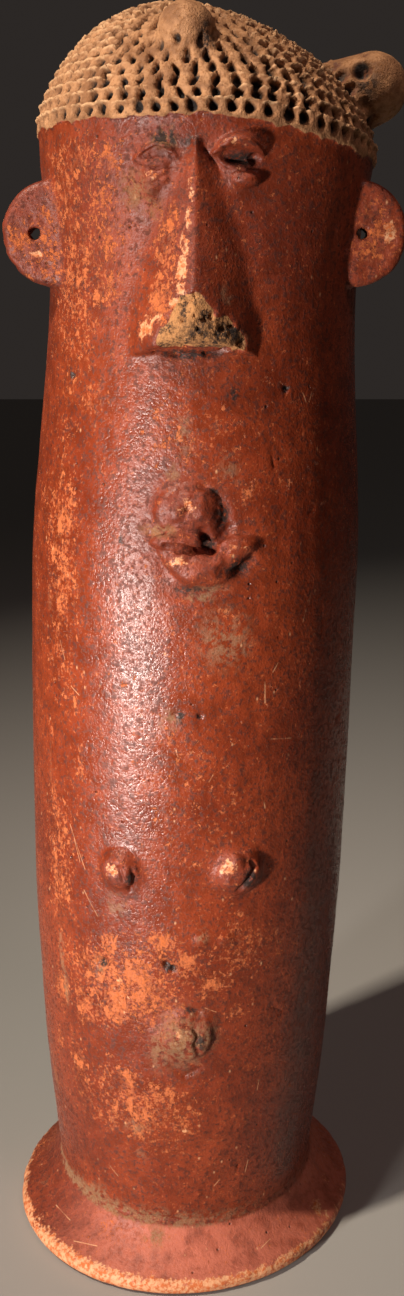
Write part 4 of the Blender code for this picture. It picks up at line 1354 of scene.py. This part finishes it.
for start, end, width in SCRATCHES:
    ends = {"Start": tuple(seen_at(*start)[0]), "End": tuple(seen_at(*end)[0])}
    line = use(tree, scratch, Place=place, Width=width / 1500, **ends)[0]
    marks = line if marks is None else most(marks, line)
marks = times(marks, ramp(tree, medium, 0.30, 0.50))
colour = blend(tree, times(marks, 0.8), colour, BARE_PALE)

hair = blend(tree, ramp(tree, medium, 0.36, 0.66), HAIR_TAN, HAIR_BROWN)
hair = blend(tree, ramp(tree, speckle, 0.54, 0.70, 0.0, 0.8), hair, HAIR_BROWN)
# The ridges are painted lighter, partly a painted highlight on their tops and partly worn dry clay, and the
# pits are painted near black as painted shade.
hair = blend(tree, ramp(tree, kept("ridge"), 0.30, 0.85, 0.0, 0.8), hair, HAIR_RIDGE_LIGHT)
hair = blend(tree, ramp(tree, kept("pit"), 0.12, 0.60), hair, SHADE_AND_GRIT_BLACK)
bare = ramp(tree, kept("bare"), 0.35, 0.65)
colour = blend(tree, bare, colour, hair)

sand = blend(tree, ramp(tree, noise(tree, place, 330.0, 6.0, 0.8), 0.46, 0.60), BREAK_OCHRE, BREAK_DARK)
colour = blend(tree, ramp(tree, kept("broken"), 0.35, 0.60), colour, sand)

soil = times(kept("dust"), ramp(tree, noise(tree, place, 380.0, 3.0, 0.7), 0.34, 0.58), clamp=True)
earth = blend(tree, ramp(tree, fine, 0.4, 0.6), SOIL, HAIR_BROWN)
colour = blend(tree, ramp(tree, soil, 0.10, 0.75, 0.0, 0.85), colour, earth)
# Painted shade: the clouds of dents, creases and shaded flanks, broken up by noise, darken the clay to near
# black.
shade_grime_mask = times(kept("shade_and_grime"), ramp(tree, noise(tree, place, 520.0, 4.0, 0.75), 0.36, 0.56), clamp=True)
colour = blend(tree, ramp(tree, shade_grime_mask, 0.08, 0.60, 0.0, 0.92), colour, SHADE_AND_GRIT_BLACK)
# Painted shade in the small holes, which are darkened near black; worn spots also show dark grit.
hole_shade_and_grit = most(holes, times(grit, ramp(tree, kept("wear"), 0.3, 0.8)))
colour = blend(tree, times(hole_shade_and_grit, 0.85), colour, SHADE_AND_GRIT_BLACK)
inner = blend(tree, broad, INSIDE, SLIP_DARK)
colour = blend(tree, kept("inside"), colour, inner)
plug(tree, shader.inputs["Base Color"], colour)

gloss = ramp(tree, medium, 0.40, 0.62, 0.19, 0.27)
gloss = sums(tree, "ADD", gloss, ramp(tree, speckle, 0.48, 0.62, 0.0, 0.34))
gloss = sums(tree, "MULTIPLY_ADD", kept("folds"), 0.32, gloss)
matt = most(peeled, bare, kept("inside"), ramp(tree, soil, 0.1, 0.6), shade_grime_mask, kept("broken"))
plug(tree, shader.inputs["Roughness"], sums(tree, "ADD", gloss, times(matt, 0.42), clamp=True))

coarse = most(kept("bare"), kept("broken"), kept("inside"))
height = sums(tree, "MULTIPLY_ADD", medium, 0.8, times(worn, -0.5))
height = sums(tree, "MULTIPLY_ADD", speckle, 1.0, height)
height = sums(tree, "MULTIPLY_ADD", fine, sums(tree, "MULTIPLY_ADD", coarse, 1.3, 0.5), height)
height = sums(tree, "MULTIPLY_ADD", holes, -1.6, height)
bump = tree.nodes.new("ShaderNodeBump")
bump.inputs["Strength"].default_value = 0.9
bump.inputs["Distance"].default_value = 0.00030
plug(tree, bump.inputs["Height"], height)
plug(tree, shader.inputs["Normal"], bump.outputs["Normal"])
figure.data.materials.clear()
figure.data.materials.append(paint)
print("the clay has", len(tree.nodes), "nodes and", len(SCRATCHES), "scratches")

# %% [markdown]
# ## Hand over
# The new body rides where the plain solid rides and stands in for it.

# %% Hand over
leave_all()
figure.select_set(True)
bpy.ops.object.shade_smooth()
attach(figure, "root")
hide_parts("statuette")
